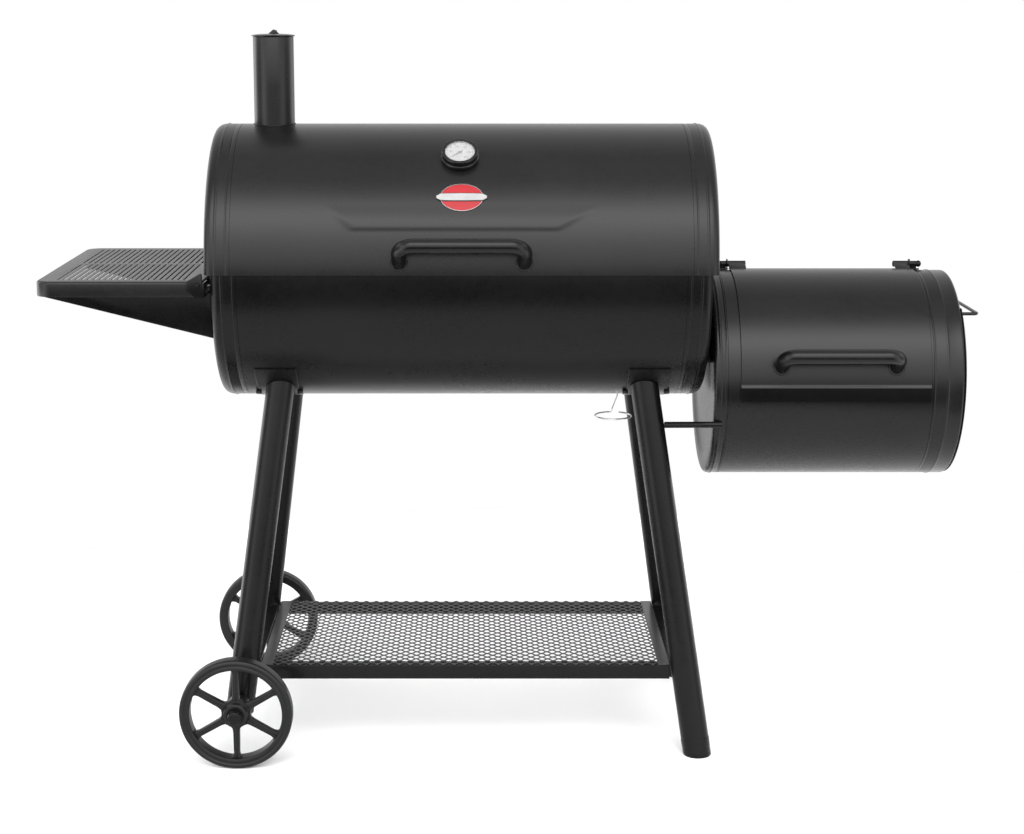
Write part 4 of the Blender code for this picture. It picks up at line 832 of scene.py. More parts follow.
def curved_plate(shape, axis, x0, x1, radius, thick, start, stop, material, steps=8):
    """Sheet lying on a barrel, with softened edges."""
    soft = min(thick * 0.35, 0.0008)
    loop = [(x0 + soft, radius), (x1 - soft, radius), (x1, radius + soft), (x1, radius + thick - soft),
            (x1 - soft, radius + thick), (x0 + soft, radius + thick), (x0, radius + thick - soft),
            (x0, radius + soft)]
    shape.arc_sweep(loop, axis, start, stop, steps, material)


def build_lid_hinges():
    along = Matrix.Rotation(math.pi / 2, 4, "Y")
    for name, x in (("left", BARREL.x - 0.28), ("right", BARREL.x + 0.28)):
        axis_at = Matrix.Translation((x, LID_HINGE_Y, BARREL.z)) @ along
        bracket = Shape()
        curved_plate(bracket, BARREL, x - 0.025, x + 0.025, BOWL_R + 0.0006, 0.0027, 182.5, 194.5, LEG_PAINT)
        bracket.block((x - 0.0088, BOWL_R + 0.0022, BARREL.z - 0.018), (x + 0.0088, LID_HINGE_Y + 0.002,
                      BARREL.z - 0.004), LEG_PAINT, 0.0008)
        bracket.lathe([(0.0, -0.0088), (0.0060, -0.0088), (0.0068, -0.0080), (0.0068, 0.0080),
                       (0.0060, 0.0088), (0.0, 0.0088)], LEG_PAINT, axis_at, 32)
        bracket.lathe([(0.0, -0.027), (0.0026, -0.027), (0.0030, -0.0265), (0.0030, 0.0265), (0.0026, 0.027),
                       (0.0, 0.027)], ZINC, axis_at, 20)
        for side in (-0.0165, 0.0165):
            spot = radial_frame(BARREL, x + side, BOWL_R + 0.0030, 189.5)
            bracket.bolt(spot.translation, spot.col[2].xyz, BOLT, 0.0042, 0.0030)
        bracket.done(f"lid_hinge_base_{name}", "grill", "leg_paint", f"lid_hinge_bracket_{name}")

        leaf = Shape()
        curved_plate(leaf, BARREL, x - 0.025, x + 0.025, LID_R + 0.0006, 0.0027, 165.5, 177.5, LEG_PAINT)
        for side in (-1.0, 1.0):
            inner, outer = sorted((x + side * 0.0092, x + side * 0.0245))
            leaf.block((inner, LID_R + 0.0018, BARREL.z + 0.0035), (outer, LID_HINGE_Y, BARREL.z + 0.016),
                       LEG_PAINT, 0.0008)
            centre = Matrix.Translation(((inner + outer) / 2, LID_HINGE_Y, BARREL.z)) @ along
            half = (outer - inner) / 2
            leaf.lathe([(0.0033, -half), (0.0060, -half), (0.0068, -half + 0.0008), (0.0068, half - 0.0008),
                        (0.0060, half), (0.0033, half)], LEG_PAINT, centre, 32, closed=True)
            spot = radial_frame(BARREL, x + side * 0.0165, LID_R + 0.0030, 170.5)
            leaf.bolt(spot.translation, spot.col[2].xyz, BOLT, 0.0042, 0.0030)
        leaf.done(f"lid_hinge_flap_{name}", "lid", "leg_paint", f"lid_hinge_leaf_{name}")


# ---------------------------------------------------------------- grates and ledges

def build_grate(node, name, body, slots_x, slots_y, margin, bar):
    """Cast grate: frame and bars with rounded tops, in the place of its CAD node."""
    shape = Shape()
    start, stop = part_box(node)
    x0, x1, y0, y1, z0, z1 = start.x, stop.x, start.y, stop.y, start.z, stop.z
    frame_outline = rounded_rectangle(x0, x1, y0, y1, 0.006, 5)
    window = rounded_rectangle(x0 + margin, x1 - margin, y0 + margin, y1 - margin, 0.003, 4)
    shape.plate([frame_outline, window], z0, z1, IRON, 0.0012)
    opening = (x1 - x0 - 2 * margin - bar * (slots_x - 1)) / slots_x
    for k in range(slots_x - 1):
        left = x0 + margin + opening * (k + 1) + bar * k
        section = [(left + bar * 0.12, z0 + 0.0004), (left + bar * 0.88, z0 + 0.0004),
                   (left + bar, z1 - 0.002), (left + bar * 0.82, z1 - 0.0004),
                   (left + bar * 0.18, z1 - 0.0004), (left, z1 - 0.002)]
        rings = [[(x, y, z) for x, z in section] for y in spread(y0 + margin * 0.8, y1 - margin * 0.8, 6)]
        shape.loft(rings, IRON)
    for k in range(slots_y - 1):
        centre = y0 + (y1 - y0) * (k + 1) / slots_y
        shape.block((x0 + margin * 0.8, centre - bar / 2, z0),
                    (x1 - margin * 0.8, centre + bar / 2, z1 - 0.0006), IRON, 0.001)
    shape.done(name, body, "cast_iron", node)


def build_grates():
    for index in (1, 2, 3):
        build_grate(f"cooking_grate_{index}", f"cooking_grid_{index}", "grill", 7, 2, 0.014, 0.012)
    build_grate("charcoal_grate", "charcoal_grid", "grill", 10, 1, 0.014, 0.012)
    build_grate("firebox_grate", "firebox_grid", "drawer", 8, 1, 0.012, 0.012)


# ---------------------------------------------------------------- firebox

DOOR_CREASE = 2.2
DOOR_FOOT = -6.0
DOOR_TOP = 97.0
DOOR_HINGE = (0.1947, 101.0)


def firebox_end_profile(inner, outer, corner, bead_at):
    """(u, r) section with u growing outwards from the joint at `inner`."""
    profile = [(inner + GAP, FIREBOX_R)]
    profile += bump_points(inner + 0.0040, FIREBOX_R, 0.004, -0.0007)
    profile += bump_points(bead_at, FIREBOX_R, 0.006, 0.0012)
    profile += [(outer - corner + corner * math.sin(t), FIREBOX_R - corner + corner * math.cos(t))
                for t in spread(0.0, math.pi / 2, 6)]
    return profile


def build_firebox():
    shell = Shape()
    left = low("firebox_shell").x
    right = high("firebox_shell").x
    rim = [(x, FIREBOX_R) for x in spread(left, right, 20)]
    loop = sheet_loop(rim)
    shell.arc_sweep([(x, r) for x, r in loop], FIREBOX, 0.0, 360.0, 144, SATIN)
    mouth = Shape()
    door_low = low("firebox_door").x + 0.015
    door_high = high("firebox_door").x - 0.015
    window = [(door_low, 0.12), (door_high, 0.12), (door_high, 0.25), (door_low, 0.25)]
    mouth.arc_sweep(window, FIREBOX, 3.1, 88.4, 30, SATIN)
    shell.cut(mouth)
    shell.done("firebox_skin", "grill", "black_paint", "firebox_shell")

    ends = (("left", left - GAP, FIRE_LEFT, -1.0), ("right", right + GAP, FIRE_RIGHT, 1.0))
    for name, joint, face, side in ends:
        shape = Shape()
        reach = abs(face - joint)
        profile = firebox_end_profile(0.0, reach, 0.006, reach * 0.45 if side > 0 else reach * 0.55)
        if side > 0:
            profile += [(reach, 0.176)]
        else:
            profile += [(reach, 0.150), (reach - 0.002, 0.146), (reach - 0.002, 0.10), (reach - 0.002, 0.05),
                        (reach - 0.002, 0.0)]
        loop = [(joint + side * u, max(r, 0.0)) for u, r in sheet_loop(profile)]
        shape.arc_sweep(loop, FIREBOX, 0.0, 360.0, 144, SATIN)
        if side < 0:
            port = Shape()
            port.extrude(port_outline(), face - 0.01, face + 0.02, SATIN, 0.0, ACROSS)
            shape.cut(port)
            collar = [port_outline(0.0015, 8), port_outline(0.0, 8)]
            shape.plate(collar, face - 0.0117, face + 0.0035, SATIN, 0.0004, ACROSS)
        else:
            ring = [circle(FIREBOX_R - 0.007, 72), chord_outline(0.1765, 0.125, 64)]
            shape.plate(ring, face - SHEET, face, SATIN, 0.0003, Matrix.Translation(FIREBOX) @ ACROSS)
        shape.done(f"firebox_cap_{name}", "grill", "black_paint", f"firebox_end_{name}")


def chord_outline(radius, top, count):
    """Disc outline, cut level at `top`."""
    reach = math.degrees(math.asin(top / radius))
    return circle(radius, count, (0.0, 0.0), 180.0 - reach, 360.0 + reach)


def build_door():
    shape = Shape()
    x0 = low("firebox_door").x
    x1 = high("firebox_door").x
    radius = 0.1860
    angles = uneven([(DOOR_FOOT, DOOR_CREASE - 1.2, 1.2), (DOOR_CREASE - 1.2, DOOR_CREASE + 1.2, 0.3),
                     (DOOR_CREASE + 1.2, DOOR_TOP, 2.0)])
    rings = []
    for angle in angles:
        outer_r = radius + 0.0022 * (1.0 - smoothstep((angle - DOOR_CREASE + 0.9) / 1.8))
        inner_r = outer_r - SHEET
        edge = 0.0006
        section = [(x0 + edge, outer_r), (x1 - edge, outer_r), (x1, outer_r - edge), (x1, inner_r),
                   (x0, inner_r), (x0, outer_r - edge)]
        rings.append([on_barrel(FIREBOX, x, r, angle) for x, r in section])
    shape.loft(rings, SATIN)
    # Faces below the crease take the darker foot paint: painted shade along the door's foot.
    slot = shape.index(FOOT_PAINTED_SHADE)
    for face in shape.bm.faces:
        spot = face.calc_center_median() - FIREBOX
        if math.degrees(math.atan2(spot.z, -spot.y)) < DOOR_CREASE - 0.9:
            face.material_index = slot
    hinge_y, hinge_z = polar(*DOOR_HINGE)
    sheet_y, sheet_z = polar(radius - SHEET / 2, DOOR_TOP - 2.0)
    lift = Matrix.Translation(FIREBOX) @ ACROSS
    for start, stop in DOOR_KNUCKLES:
        outline = [(sheet_y - 0.004, sheet_z + 0.0002), (sheet_y + 0.001, sheet_z + 0.0002),
                   (hinge_y + 0.001, hinge_z - 0.002), (hinge_y - 0.004, hinge_z + 0.003)]
        shape.extrude(outline, max(start, x0) + 0.001, min(stop, x1) - 0.001, SATIN, 0.0004, lift)
        at = Matrix.Translation((0.0, hinge_y, FIREBOX.z + hinge_z)) @ Matrix.Rotation(math.pi / 2, 4, "Y")
        shape.lathe([(0.0031, start), (0.0050, start), (0.0055, start + 0.0005), (0.0055, stop - 0.0005),
                     (0.0050, stop), (0.0031, stop)], SATIN, at, 28, closed=True)
    shape.done("firebox_door_skin", "door", "black_paint", "firebox_door")



def build_door_ears():
    hinge_y, hinge_z = polar(*DOOR_HINGE)
    for name, ear, knuckle, side in zip(("left", "right"), DOOR_EARS, DOOR_KNUCKLES, (1.0, -1.0)):
        shape = Shape()
        curved_plate(shape, FIREBOX, ear[0], ear[1], FIREBOX_R + GAP, 0.0027, 96.0, 112.0, LEG_PAINT)
        shape.block((ear[0] + 0.002, hinge_y - 0.004, FIREBOX.z + hinge_z - 0.0085),
                    (ear[1] - 0.002, hinge_y + 0.004, FIREBOX.z + hinge_z + 0.001), LEG_PAINT, 0.0006)
        at = Matrix.Translation((0.0, hinge_y, FIREBOX.z + hinge_z)) @ Matrix.Rotation(math.pi / 2, 4, "Y")
        shape.lathe([(0.0, ear[0] + 0.001), (0.0046, ear[0] + 0.001), (0.0052, ear[0] + 0.002),
                     (0.0052, ear[1] - 0.001), (0.0046, ear[1]), (0.0, ear[1])], LEG_PAINT, at, 28)
        ends = sorted(((ear[0] + ear[1]) / 2, knuckle[1] - 0.001 if side > 0 else knuckle[0] + 0.001))
        shape.lathe([(0.0, ends[0]), (0.0024, ends[0]), (0.0024, ends[1]), (0.0, ends[1])], BOLT, at, 20)
        inner = ear[1] if side > 0 else ear[0]
        washer = sorted((inner - side * 0.0010, inner + side * 0.0006))
        ring = [(0.0024, washer[0]), (0.0088, washer[0]), (0.0088, washer[1]), (0.0024, washer[1])]
        shape.lathe(ring, LEG_PAINT, at, 28, closed=True)
        knob = ear[0] - 0.002 if side > 0 else ear[1] + 0.002
        ball = [(0.0060 * math.sin(t), knob - 0.0052 * math.cos(t)) for t in spread(0.0, math.pi, 12)]
        shape.lathe(ball, LEG_PAINT, at, 24)
        shape.done(f"door_ear_{name}", "grill", "leg_paint", f"door_hinge_ear_{name}")


def build_drawer():
    lift = Matrix.Translation(FIREBOX) @ ACROSS
    face = low("ash_drawer_front").x
    front = Shape()
    outer = chord_outline(0.1815, 0.133, 72)
    holes = [sector(0.014, 0.040, 90.0 + 120.0 * k, 44.0, -0.035) for k in range(3)]
    front.plate([outer] + holes, face, face + SHEET, SATIN, 0.0004, lift)
    rib = chord_outline(0.1650, 0.1220, 72)
    rib_in = chord_outline(0.1615, 0.1185, 72)
    front.plate([rib, rib_in], face + SHEET - 0.0003, face + SHEET + 0.0004, SATIN, 0.0004, lift)
    front.done("drawer_face", "drawer", "black_paint", "ash_drawer_front")

    pan = Shape()
    start = low("ash_drawer_pan").x
    stop = high("ash_drawer_pan").x
    radius = 0.1750
    inner = radius - SHEET
    loop = [(start, 0.110), (start, radius), (stop, radius), (stop, inner), (start + SHEET, inner),
            (start + SHEET, 0.110)]
    pan.arc_sweep(loop, FIREBOX, 195.0, 345.0, 60, SATIN)
    pan.done("drawer_pan", "drawer", "black_paint", "ash_drawer_pan")

    bail = Shape()
    foot_x = face + SHEET + GAP
    z = FIREBOX.z + 0.118
    tip_x = foot_x + 0.0375
    corners = [(foot_x, -0.085, z), (tip_x, -0.085, z), (tip_x, 0.085, z), (foot_x, 0.085, z)]
    bail.tube(fillet(corners, 0.008, 6), 0.0030, HANDLE_PAINT, 14)
    for side in (-0.085, 0.085):
        bail.bolt((foot_x, side, z), (1.0, 0.0, 0.0), LEG_PAINT, 0.0062, 0.0050)
    bail.done("drawer_bail", "drawer", "zinc_steel", "ash_drawer_handle")

    damper = Shape()
    face = face + SHEET + 2 * GAP
    outline = circle(0.052, 64, (0.0, -0.035))
    holes = [sector(0.014, 0.040, 120.0 + 120.0 * k, 44.0, -0.035) for k in range(3)]
    damper.plate([outline] + holes, face, face + SHEET, LEG_PAINT, 0.0004, lift)
    hub = Vector((face + SHEET, 0.0, FIREBOX.z - 0.035))
    damper.bolt(hub, (1.0, 0.0, 0.0), BOLT, 0.0060, 0.0034)
    tab_top = FIREBOX.z - 0.082
    damper.block((face, -0.007, tab_top - 0.019), (face + SHEET, 0.007, tab_top), LEG_PAINT, 0.0004)
    damper.block((face + 0.0004, -0.007, tab_top - 0.0200), (face + 0.0115, 0.007, tab_top - 0.0186),
                 LEG_PAINT, 0.0004)
    damper.done("damper_disc", "damper", "leg_paint", "air_damper")


def sector(radius_in, radius_out, at, width, centre_z):
    """Rounded sector outline about a point on the firebox axis's vertical."""
    points = circle(radius_out, 8, (0.0, centre_z), at - width / 2, at + width / 2)
    points += list(reversed(circle(radius_in, 8, (0.0, centre_z), at - width / 2, at + width / 2)))
    return [(p[0], p[1]) for p in fillet(points, 0.003, 3, closed=True)]


# ---------------------------------------------------------------- stand

LEG_REF_Z = 0.6115
LEG_TOP_X = (BARREL.x - 0.3223, BARREL.x + 0.3239)
LEG_SLOPE_X = (-0.1317, 0.1488)
LEG_TOP_Y = 0.1304
LEG_SLOPE_Y = 0.1344
LEG_R = 0.0245
SADDLE_OUT = BOWL_R + GAP + 0.003


def leg_centre(column, side, z):
    drop = LEG_REF_Z - z
    x = LEG_TOP_X[column] + LEG_SLOPE_X[column] * drop
    return Vector((x, side * (LEG_TOP_Y + LEG_SLOPE_Y * drop), z))


def barrel_height(y, radius):
    """Height of the barrel's underside at a given y."""
    return BARREL.z - math.sqrt(max(radius ** 2 - y ** 2, 0.0))


def leg_point(column, side, z, radius, turn, limit=None):
    """Point on the skin of a leaning tube; with a limit it runs up until it meets that barrel."""
    axis = (leg_centre(column, side, 1.0) - leg_centre(column, side, 0.0)).normalized()
    u = Vector((1.0, 0.0, 0.0)).cross(axis).normalized()
    v = axis.cross(u)
    offset = (u * math.cos(turn) + v * math.sin(turn)) * radius
    point = leg_centre(column, side, z) + offset
    if limit is not None:
        for _ in range(12):
            error = barrel_height(point.y, limit) - point.z
            point = point + axis * (error * 0.8)
    return point


def build_legs():
    steps = 40
    turns = [2 * math.pi * k / steps for k in range(steps)]
    for row, side in (("front", -1.0), ("rear", 1.0)):
        for column, place in enumerate(("left", "right")):
            shape = Shape()
            bottom = 0.076 if column == 0 else 0.0045
            rings = [[leg_point(column, side, bottom, LEG_R - 0.0015, t) for t in turns],
                     [leg_point(column, side, bottom, LEG_R - 0.0006, t) for t in turns],
                     [leg_point(column, side, bottom + 0.0008, LEG_R, t) for t in turns]]
            for z in spread(bottom + 0.05, 0.58, 6):
                rings.append([leg_point(column, side, z, LEG_R, t) for t in turns])
            for radius in (LEG_R, LEG_R - 0.0015):
                rings.append([leg_point(column, side, 0.60, radius, t, SADDLE_OUT + 0.0002) for t in turns])
            shape.loft(rings, LEG_PAINT, closed_run=True)
            if column == 0:
                plug = [[leg_point(column, side, bottom + 0.002, r, t) for t in turns]
                        for r in (LEG_R - 0.0016, LEG_R - 0.012, 0.001)]
                shape.loft(plug, PLASTIC, caps=False)
            shape.done(f"leg_tube_{row}_{place}", "grill", "leg_paint", f"leg_{row}_{place}")
    for row, side in (("front", -1.0), ("rear", 1.0)):
        foot = Shape()
        profile = [(0.0246, 0.0295), (0.0250, 0.0290), (0.0251, 0.026), (0.0250, 0.010), (0.0252, 0.0078),
                   (0.0252, 0.0015), (0.0244, 0.0), (0.004, 0.0)]
        rings = []
        for radius, z in profile:
            rings.append([leg_point(1, side, z, radius, t) for t in turns])
        flat = []
        for ring, (_, z) in zip(rings, profile):
            flat.append([Vector((p.x, p.y, z)) if z < 0.012 else p for p in ring])
        foot.loft(flat, LEG_PAINT, caps=False)
        inner = [[Vector((p.x, p.y, 0.004)) for p in (leg_point(1, side, 0.004, r, t) for t in turns)]
                 for r in (0.0245, 0.012, 0.001)]
        foot.loft(inner, PLASTIC, caps=False)
        foot.done(f"foot_{row}", "grill", "black_plastic", f"foot_cup_{row}")


def build_saddles():
    for column, name in enumerate(("left", "right")):
        centre = LEG_TOP_X[column]
        shape = Shape()
        half = 0.036
        curved_plate(shape, BARREL, centre - half, centre + half, BOWL_R + GAP, 0.0018, 224.0, 316.0,
                     LEG_PAINT, 40)
        for side in (-1.0, 1.0):
            for angle in (294.0, 246.0):
                spot = radial_frame(BARREL, centre + side * (half + 0.0005), BOWL_R + 0.0014, angle)
                shape.block((-0.0048, -0.0048, -0.0010), (0.0048, 0.0048, 0.0050), LEG_PAINT, 0.0008, spot)
        shape.done(f"saddle_{name}", "grill", "leg_paint", f"leg_saddle_{name}")


RAIL_TOP = 0.1549
RAIL_Y = 0.1892
RAIL_SIZE = 0.0246
RAIL_WALL = 0.002


def angle_section(corner, across, z):
    """Rounded L section (a, z): level flange towards `across`, web hanging from the corner."""
    a = corner
    outline = [(a, z), (a + across * RAIL_SIZE, z), (a + across * RAIL_SIZE, z - RAIL_WALL),
               (a + across * RAIL_WALL, z - RAIL_WALL), (a + across * RAIL_WALL, z - RAIL_SIZE),
               (a, z - RAIL_SIZE)]
    return [(p[0], p[1]) for p in fillet(outline, 0.0008, 3, closed=True)]


def build_rails():
    for name, side in (("front", -1.0), ("rear", 1.0)):
        shape = Shape()
        section = angle_section(side * RAIL_Y, -side, RAIL_TOP)
        x0 = low(f"shelf_rail_{name}").x
        x1 = high(f"shelf_rail_{name}").x
        shape.loft([[(x, y, z) for y, z in section] for x in spread(x0, x1, 12)], LEG_PAINT)
        shape.done(f"rail_{name}", "grill", "leg_paint", f"shelf_rail_{name}")
    for name, across in (("left", 1.0), ("right", -1.0)):
        shape = Shape()
        node = f"shelf_rail_{name}"
        corner = low(node).x if across > 0 else high(node).x
        section = angle_section(corner, across, RAIL_TOP)
        shape.loft([[(x, y, z) for x, z in section] for y in spread(low(node).y, high(node).y, 8)], LEG_PAINT)
        shape.done(f"rail_{name}", "grill", "leg_paint", node)


MESH_PITCH = 0.0194
MESH_STRAND = 0.0033


def build_mesh_shelf():
    """Expanded sheet: zigzag strands joined side by side, with a plain border at both ends."""
    shape = Shape()
    start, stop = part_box("lower_shelf_mesh")
    border = 0.0193
    x0 = start.x + border
    x1 = stop.x - border
    y0 = start.y + 0.001
    y1 = stop.y - 0.001
    columns = round((x1 - x0) / MESH_PITCH)
    rows = round((y1 - y0) / (MESH_PITCH / 2))
    pitch_x = (x1 - x0) / columns
    pitch_y = (y1 - y0) / rows
    half = MESH_STRAND / 2
    z0 = start.z
    thick = 0.0016
    for row in range(rows):
        centre = y0 + pitch_y * (row + 0.5)
        swing = (pitch_y - MESH_STRAND * 0.55) / 2
        phase = row % 2
        rings = []
        for k in range(columns * 2 + 1):
            x = x0 + pitch_x * k / 2
            way = 1.0 if (k + phase) % 2 == 0 else -1.0
            for shift, level in ((-0.16, way), (0.16, way)):
                at = min(max(x + shift * pitch_x / 2, x0 - 0.002), x1 + 0.002)
                y = centre + swing * level
                z = z0 + 0.0002 * (1 + level)
                rings.append([(at, y - half, z), (at, y + half, z), (at, y + half - 0.0003, z + thick),
                              (at, y - half + 0.0003, z + thick)])
        shape.loft(rings, MESH_GREY)
    for a, b in ((start.x, x0 + 0.001), (x1 - 0.001, stop.x)):
        shape.block((a, start.y, z0), (b, stop.y, z0 + thick + 0.0002), MESH_GREY, 0.0004)
    shape.done("shelf_expanded_sheet", "grill", "grey_paint", "lower_shelf_mesh", sharp=40.0)


# ---------------------------------------------------------------- wheels and axle

AXLE_Z = 0.098
WHEEL_R = 0.098
HUB_R = 0.0215
SPOKE_COUNT = 6


def spoke_outline():
    """One spoke along X, flared where it runs into the hub and the rim."""
    lower = [(0.0225, -0.0112), (0.0262, -0.0068), (0.0330, -0.0056), (0.0720, -0.0050), (0.0775, -0.0066),
             (0.0808, -0.0125)]
    return lower + [(x, -y) for x, y in reversed(lower)]


def build_wheel(name, node, body, side):
    shape = Shape()
    centre = middle(node)
    outward = Vector((0.0, side, 0.0))
    at = frame_at((centre.x, side * 0.2717, centre.z), outward, (1.0, 0.0, 0.0))
    half = 0.014
    tyre = [(0.0800, -half + 0.001), (0.0810, -half), (0.0930, -half), (0.0965, -half + 0.0012),
            (WHEEL_R, -half + 0.0045), (WHEEL_R, half - 0.0045), (0.0965, half - 0.0012), (0.0930, half),
            (0.0905, half), (0.0893, half - 0.0012), (0.0868, half - 0.0012), (0.0856, half), (0.0815, half),
            (0.0800, half - 0.0014)]
    shape.lathe([(p[0], p[1]) for p in fillet(tyre, 0.0008, 2, closed=True)], PLASTIC, at, 120, closed=True)
    near = 0.232 - 0.2717
    far = 0.291 - 0.2717
    hub = [(0.0067, near), (HUB_R - 0.003, near), (HUB_R - 0.0015, near + 0.0015), (HUB_R, -0.010),
           (HUB_R + 0.0035, -0.0066), (HUB_R + 0.0035, 0.0066), (HUB_R, 0.010),
           (HUB_R - 0.0008, far - 0.0015), (HUB_R - 0.0025, far), (0.0150, far), (0.0140, far - 0.0012),
           (0.0067, far - 0.0012)]
    shape.lathe([(p[0], p[1]) for p in fillet(hub, 0.001, 3, closed=True)], PLASTIC, at, 64, closed=True)
    for index in range(SPOKE_COUNT):
        turn = at @ Matrix.Rotation(math.radians(90.0 + index * 60.0), 4, "Z")
        shape.extrude(spoke_outline(), -0.0065, 0.0065, PLASTIC, 0.0012, turn)
        shape.block((HUB_R - 0.002, -0.0014, 0.0060), (0.0815, 0.0014, 0.0084), PLASTIC, 0.0008, turn)
        shape.block((HUB_R - 0.002, -0.0014, -0.0084), (0.0815, 0.0014, -0.0060), PLASTIC, 0.0008, turn)
    shape.done(name, body, "black_plastic", node)


def build_wheels():
    build_wheel("wheel_disc_front", "wheel_front", "front_wheel", -1.0)
    build_wheel("wheel_disc_rear", "wheel_rear", "rear_wheel", 1.0)
    x = middle("axle").x
    rod = Shape()
    along = Matrix.Translation((x, 0.0, AXLE_Z)) @ Matrix.Rotation(math.pi / 2, 4, "X")
    rod.lathe([(0.0, -0.2975), (0.0055, -0.2975), (0.0063, -0.2965), (0.0063, 0.2965), (0.0055, 0.2975),
               (0.0, 0.2975)], ZINC, along, 28)
    rod.done("axle_rod", "grill", "zinc_steel", "axle")
    for name, side in (("front", -1.0), ("rear", 1.0)):
        cap = Shape()
        at = frame_at((x, 0.0, AXLE_Z), (0.0, side, 0.0))
        profile = [(0.0066, 0.2916), (0.0125, 0.2916), (0.0125, 0.3000), (0.0112, 0.3026), (0.0080, 0.3038),
                   (0.0, 0.3040), (0.0, 0.2978), (0.0066, 0.2978)]
        cap.lathe(profile, LEG_PAINT, at, 36)
        cap.done(f"axle_button_{name}", "grill", "black_plastic", f"axle_cap_{name}")


# ---------------------------------------------------------------- side shelf

TRAY_SLOTS = 22


def build_side_shelf():
    start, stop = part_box("side_shelf_tray")
    shape = Shape()
    corner = 0.028
    top = stop.z
    edge = 0.0045
    outline = rounded_rectangle(start.x + edge, stop.x - edge, start.y + edge, stop.y - edge,
                                corner - edge, 10)
    slots = []
    first = start.x + 0.034
    pitch = (stop.x - 0.026 - first) / TRAY_SLOTS
    for y0, y1 in ((start.y + 0.026, -0.006), (0.006, stop.y - 0.026)):
        for index in range(TRAY_SLOTS):
            x = first + index * pitch
            slots.append(rounded_rectangle(x, x + 0.0028, y0, y1, 0.0013, 3))
    shape.plate([outline] + slots, top - SHEET, top, SHELF_GREY, 0.0003)
    rings = []
    depth = top - start.z
    section = [(edge, 0.0)]
    section += [(edge - edge * math.sin(t), -edge + edge * math.cos(t)) for t in spread(0.0, math.pi / 2, 6)]
    section += [(0.0, -depth + 0.0012), (0.0006, -depth), (0.0016, -depth + 0.0003), (SHEET, -depth + 0.0020),
                (SHEET, -edge), (edge, -SHEET)]
    for inset, drop in section:
        rings.append([(x, y, top + drop) for x, y in rounded_rectangle(
            start.x + inset, stop.x - inset, start.y + inset, stop.y - inset, corner - inset, 10)])
    # The rim wears a darker paint than the tray: painted shade on its front-facing sides.
    shape.loft(rings, SHELF_RIM_PAINTED_SHADE, caps=False)
    shape.done("side_shelf_slotted", "grill", "grey_paint", "side_shelf_tray")

    for name, side in (("front", -1.0), ("rear", 1.0)):
        node = f"shelf_gusset_{name}"
        g0, g1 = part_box(node)
        gusset = Shape()
        root = g1.x
        tip = start.x + 0.004
        under = start.z - GAP
        y_out = side * 0.195
        y_in = side * 0.193
        web = [(root, g0.z), (root, under), (stop.x - 0.005, under), (stop.x - 0.005, top - 0.0022),
               (tip, top - 0.0022), (tip, 0.8147)]
        upright = Matrix(((1, 0, 0, 0), (0, 0, 1, 0), (0, 1, 0, 0), (0, 0, 0, 1)))
        gusset.extrude(web, min(y_out, y_in), max(y_out, y_in), LEG_PAINT, 0.0003, upright)
        lip = [(root, g0.z), (tip, 0.8147), (tip, 0.8132), (root, g0.z - 0.0015)]
        inner = side * 0.181
        gusset.extrude(lip, min(y_out, inner), max(y_out, inner), LEG_PAINT, 0.0003, upright)
        plate_in = side * 0.171
        gusset.block((root - 0.002, min(y_out, plate_in), g0.z + 0.004),
                     (root, max(y_out, plate_in), under - 0.002), LEG_PAINT, 0.0004)
        for z in (g0.z + 0.018, under - 0.016):
            gusset.bolt((root - 0.002, side * 0.182, z), (-1.0, 0.0, 0.0), BOLT, 0.0048, 0.0035)
        gusset.done(f"gusset_{name}", "grill", "leg_paint", node)

        bracket = Shape()
        face = side * 0.2415
        x_out = stop.x + GAP
        wedge = [(stop.x - 0.0262, top - 0.0135), (stop.x - 0.0262, top + 0.0007),
                 (stop.x - 0.0022, top + 0.0148), (stop.x + 0.0004, top + 0.0127),
                 (stop.x + 0.0004, start.z - 0.0012), (stop.x - 0.0118, start.z - 0.0012)]
        y0, y1 = sorted((face, face - side * 0.0028))
        bracket.extrude(wedge, y0, y1, LEG_PAINT, 0.0004, upright)
        y0, y1 = sorted((face - side * 0.0005, side * 0.1958))
        bracket.block((x_out, y0, start.z - 0.0010), (x_out + 0.0025, y1, top - 0.0022), LEG_PAINT, 0.0004)
        y0, y1 = sorted((side * 0.2200, side * 0.1962))
        bracket.block((x_out + 0.0004, y0, top - 0.0125), (-BOWL_HALF + BARREL.x - GAP, y1, top - 0.0095),
                      LEG_PAINT, 0.0004)
        bracket.bolt((stop.x - 0.0080, face, top - 0.0060), (0.0, side, 0.0), LEG_PAINT, 0.0032, 0.0022)
        bracket.done(f"shelf_clip_{name}", "grill", "leg_paint", f"shelf_bracket_{name}")


# ---------------------------------------------------------------- wire hanger and brace

def build_hanger():
    shape = Shape()
    x = BARREL.x + 0.2805
    ring_x = BARREL.x + 0.2736
    top = BARREL.z - BOWL_R - 2 * GAP
    level = low("grease_can_hanger").z + 0.0015
    ring = 0.0330
    points = [Vector((x, 0.0, top)), Vector((x, 0.0, top - 0.008)), Vector((ring_x, ring, level + 0.006))]
    points = [Vector(p) for p in fillet(points, 0.006, 4)]
    for k in range(40):
        turn = math.radians(92.0 + 8.6 * k)
        points.append(Vector((ring_x + ring * math.cos(turn), ring * math.sin(turn), level)))
    shape.tube(points, 0.0015, ZINC, 10)
    shape.lathe([(0.0, top - 0.0015), (0.0042, top - 0.0015), (0.0048, top - 0.0005), (0.0048, top + 0.0004),
                 (0.0, top + 0.0004)], ZINC, Matrix.Translation((x, 0.0, 0.0)), 24)
    shape.done("hanger_wire", "grill", "zinc_steel", "grease_can_hanger")


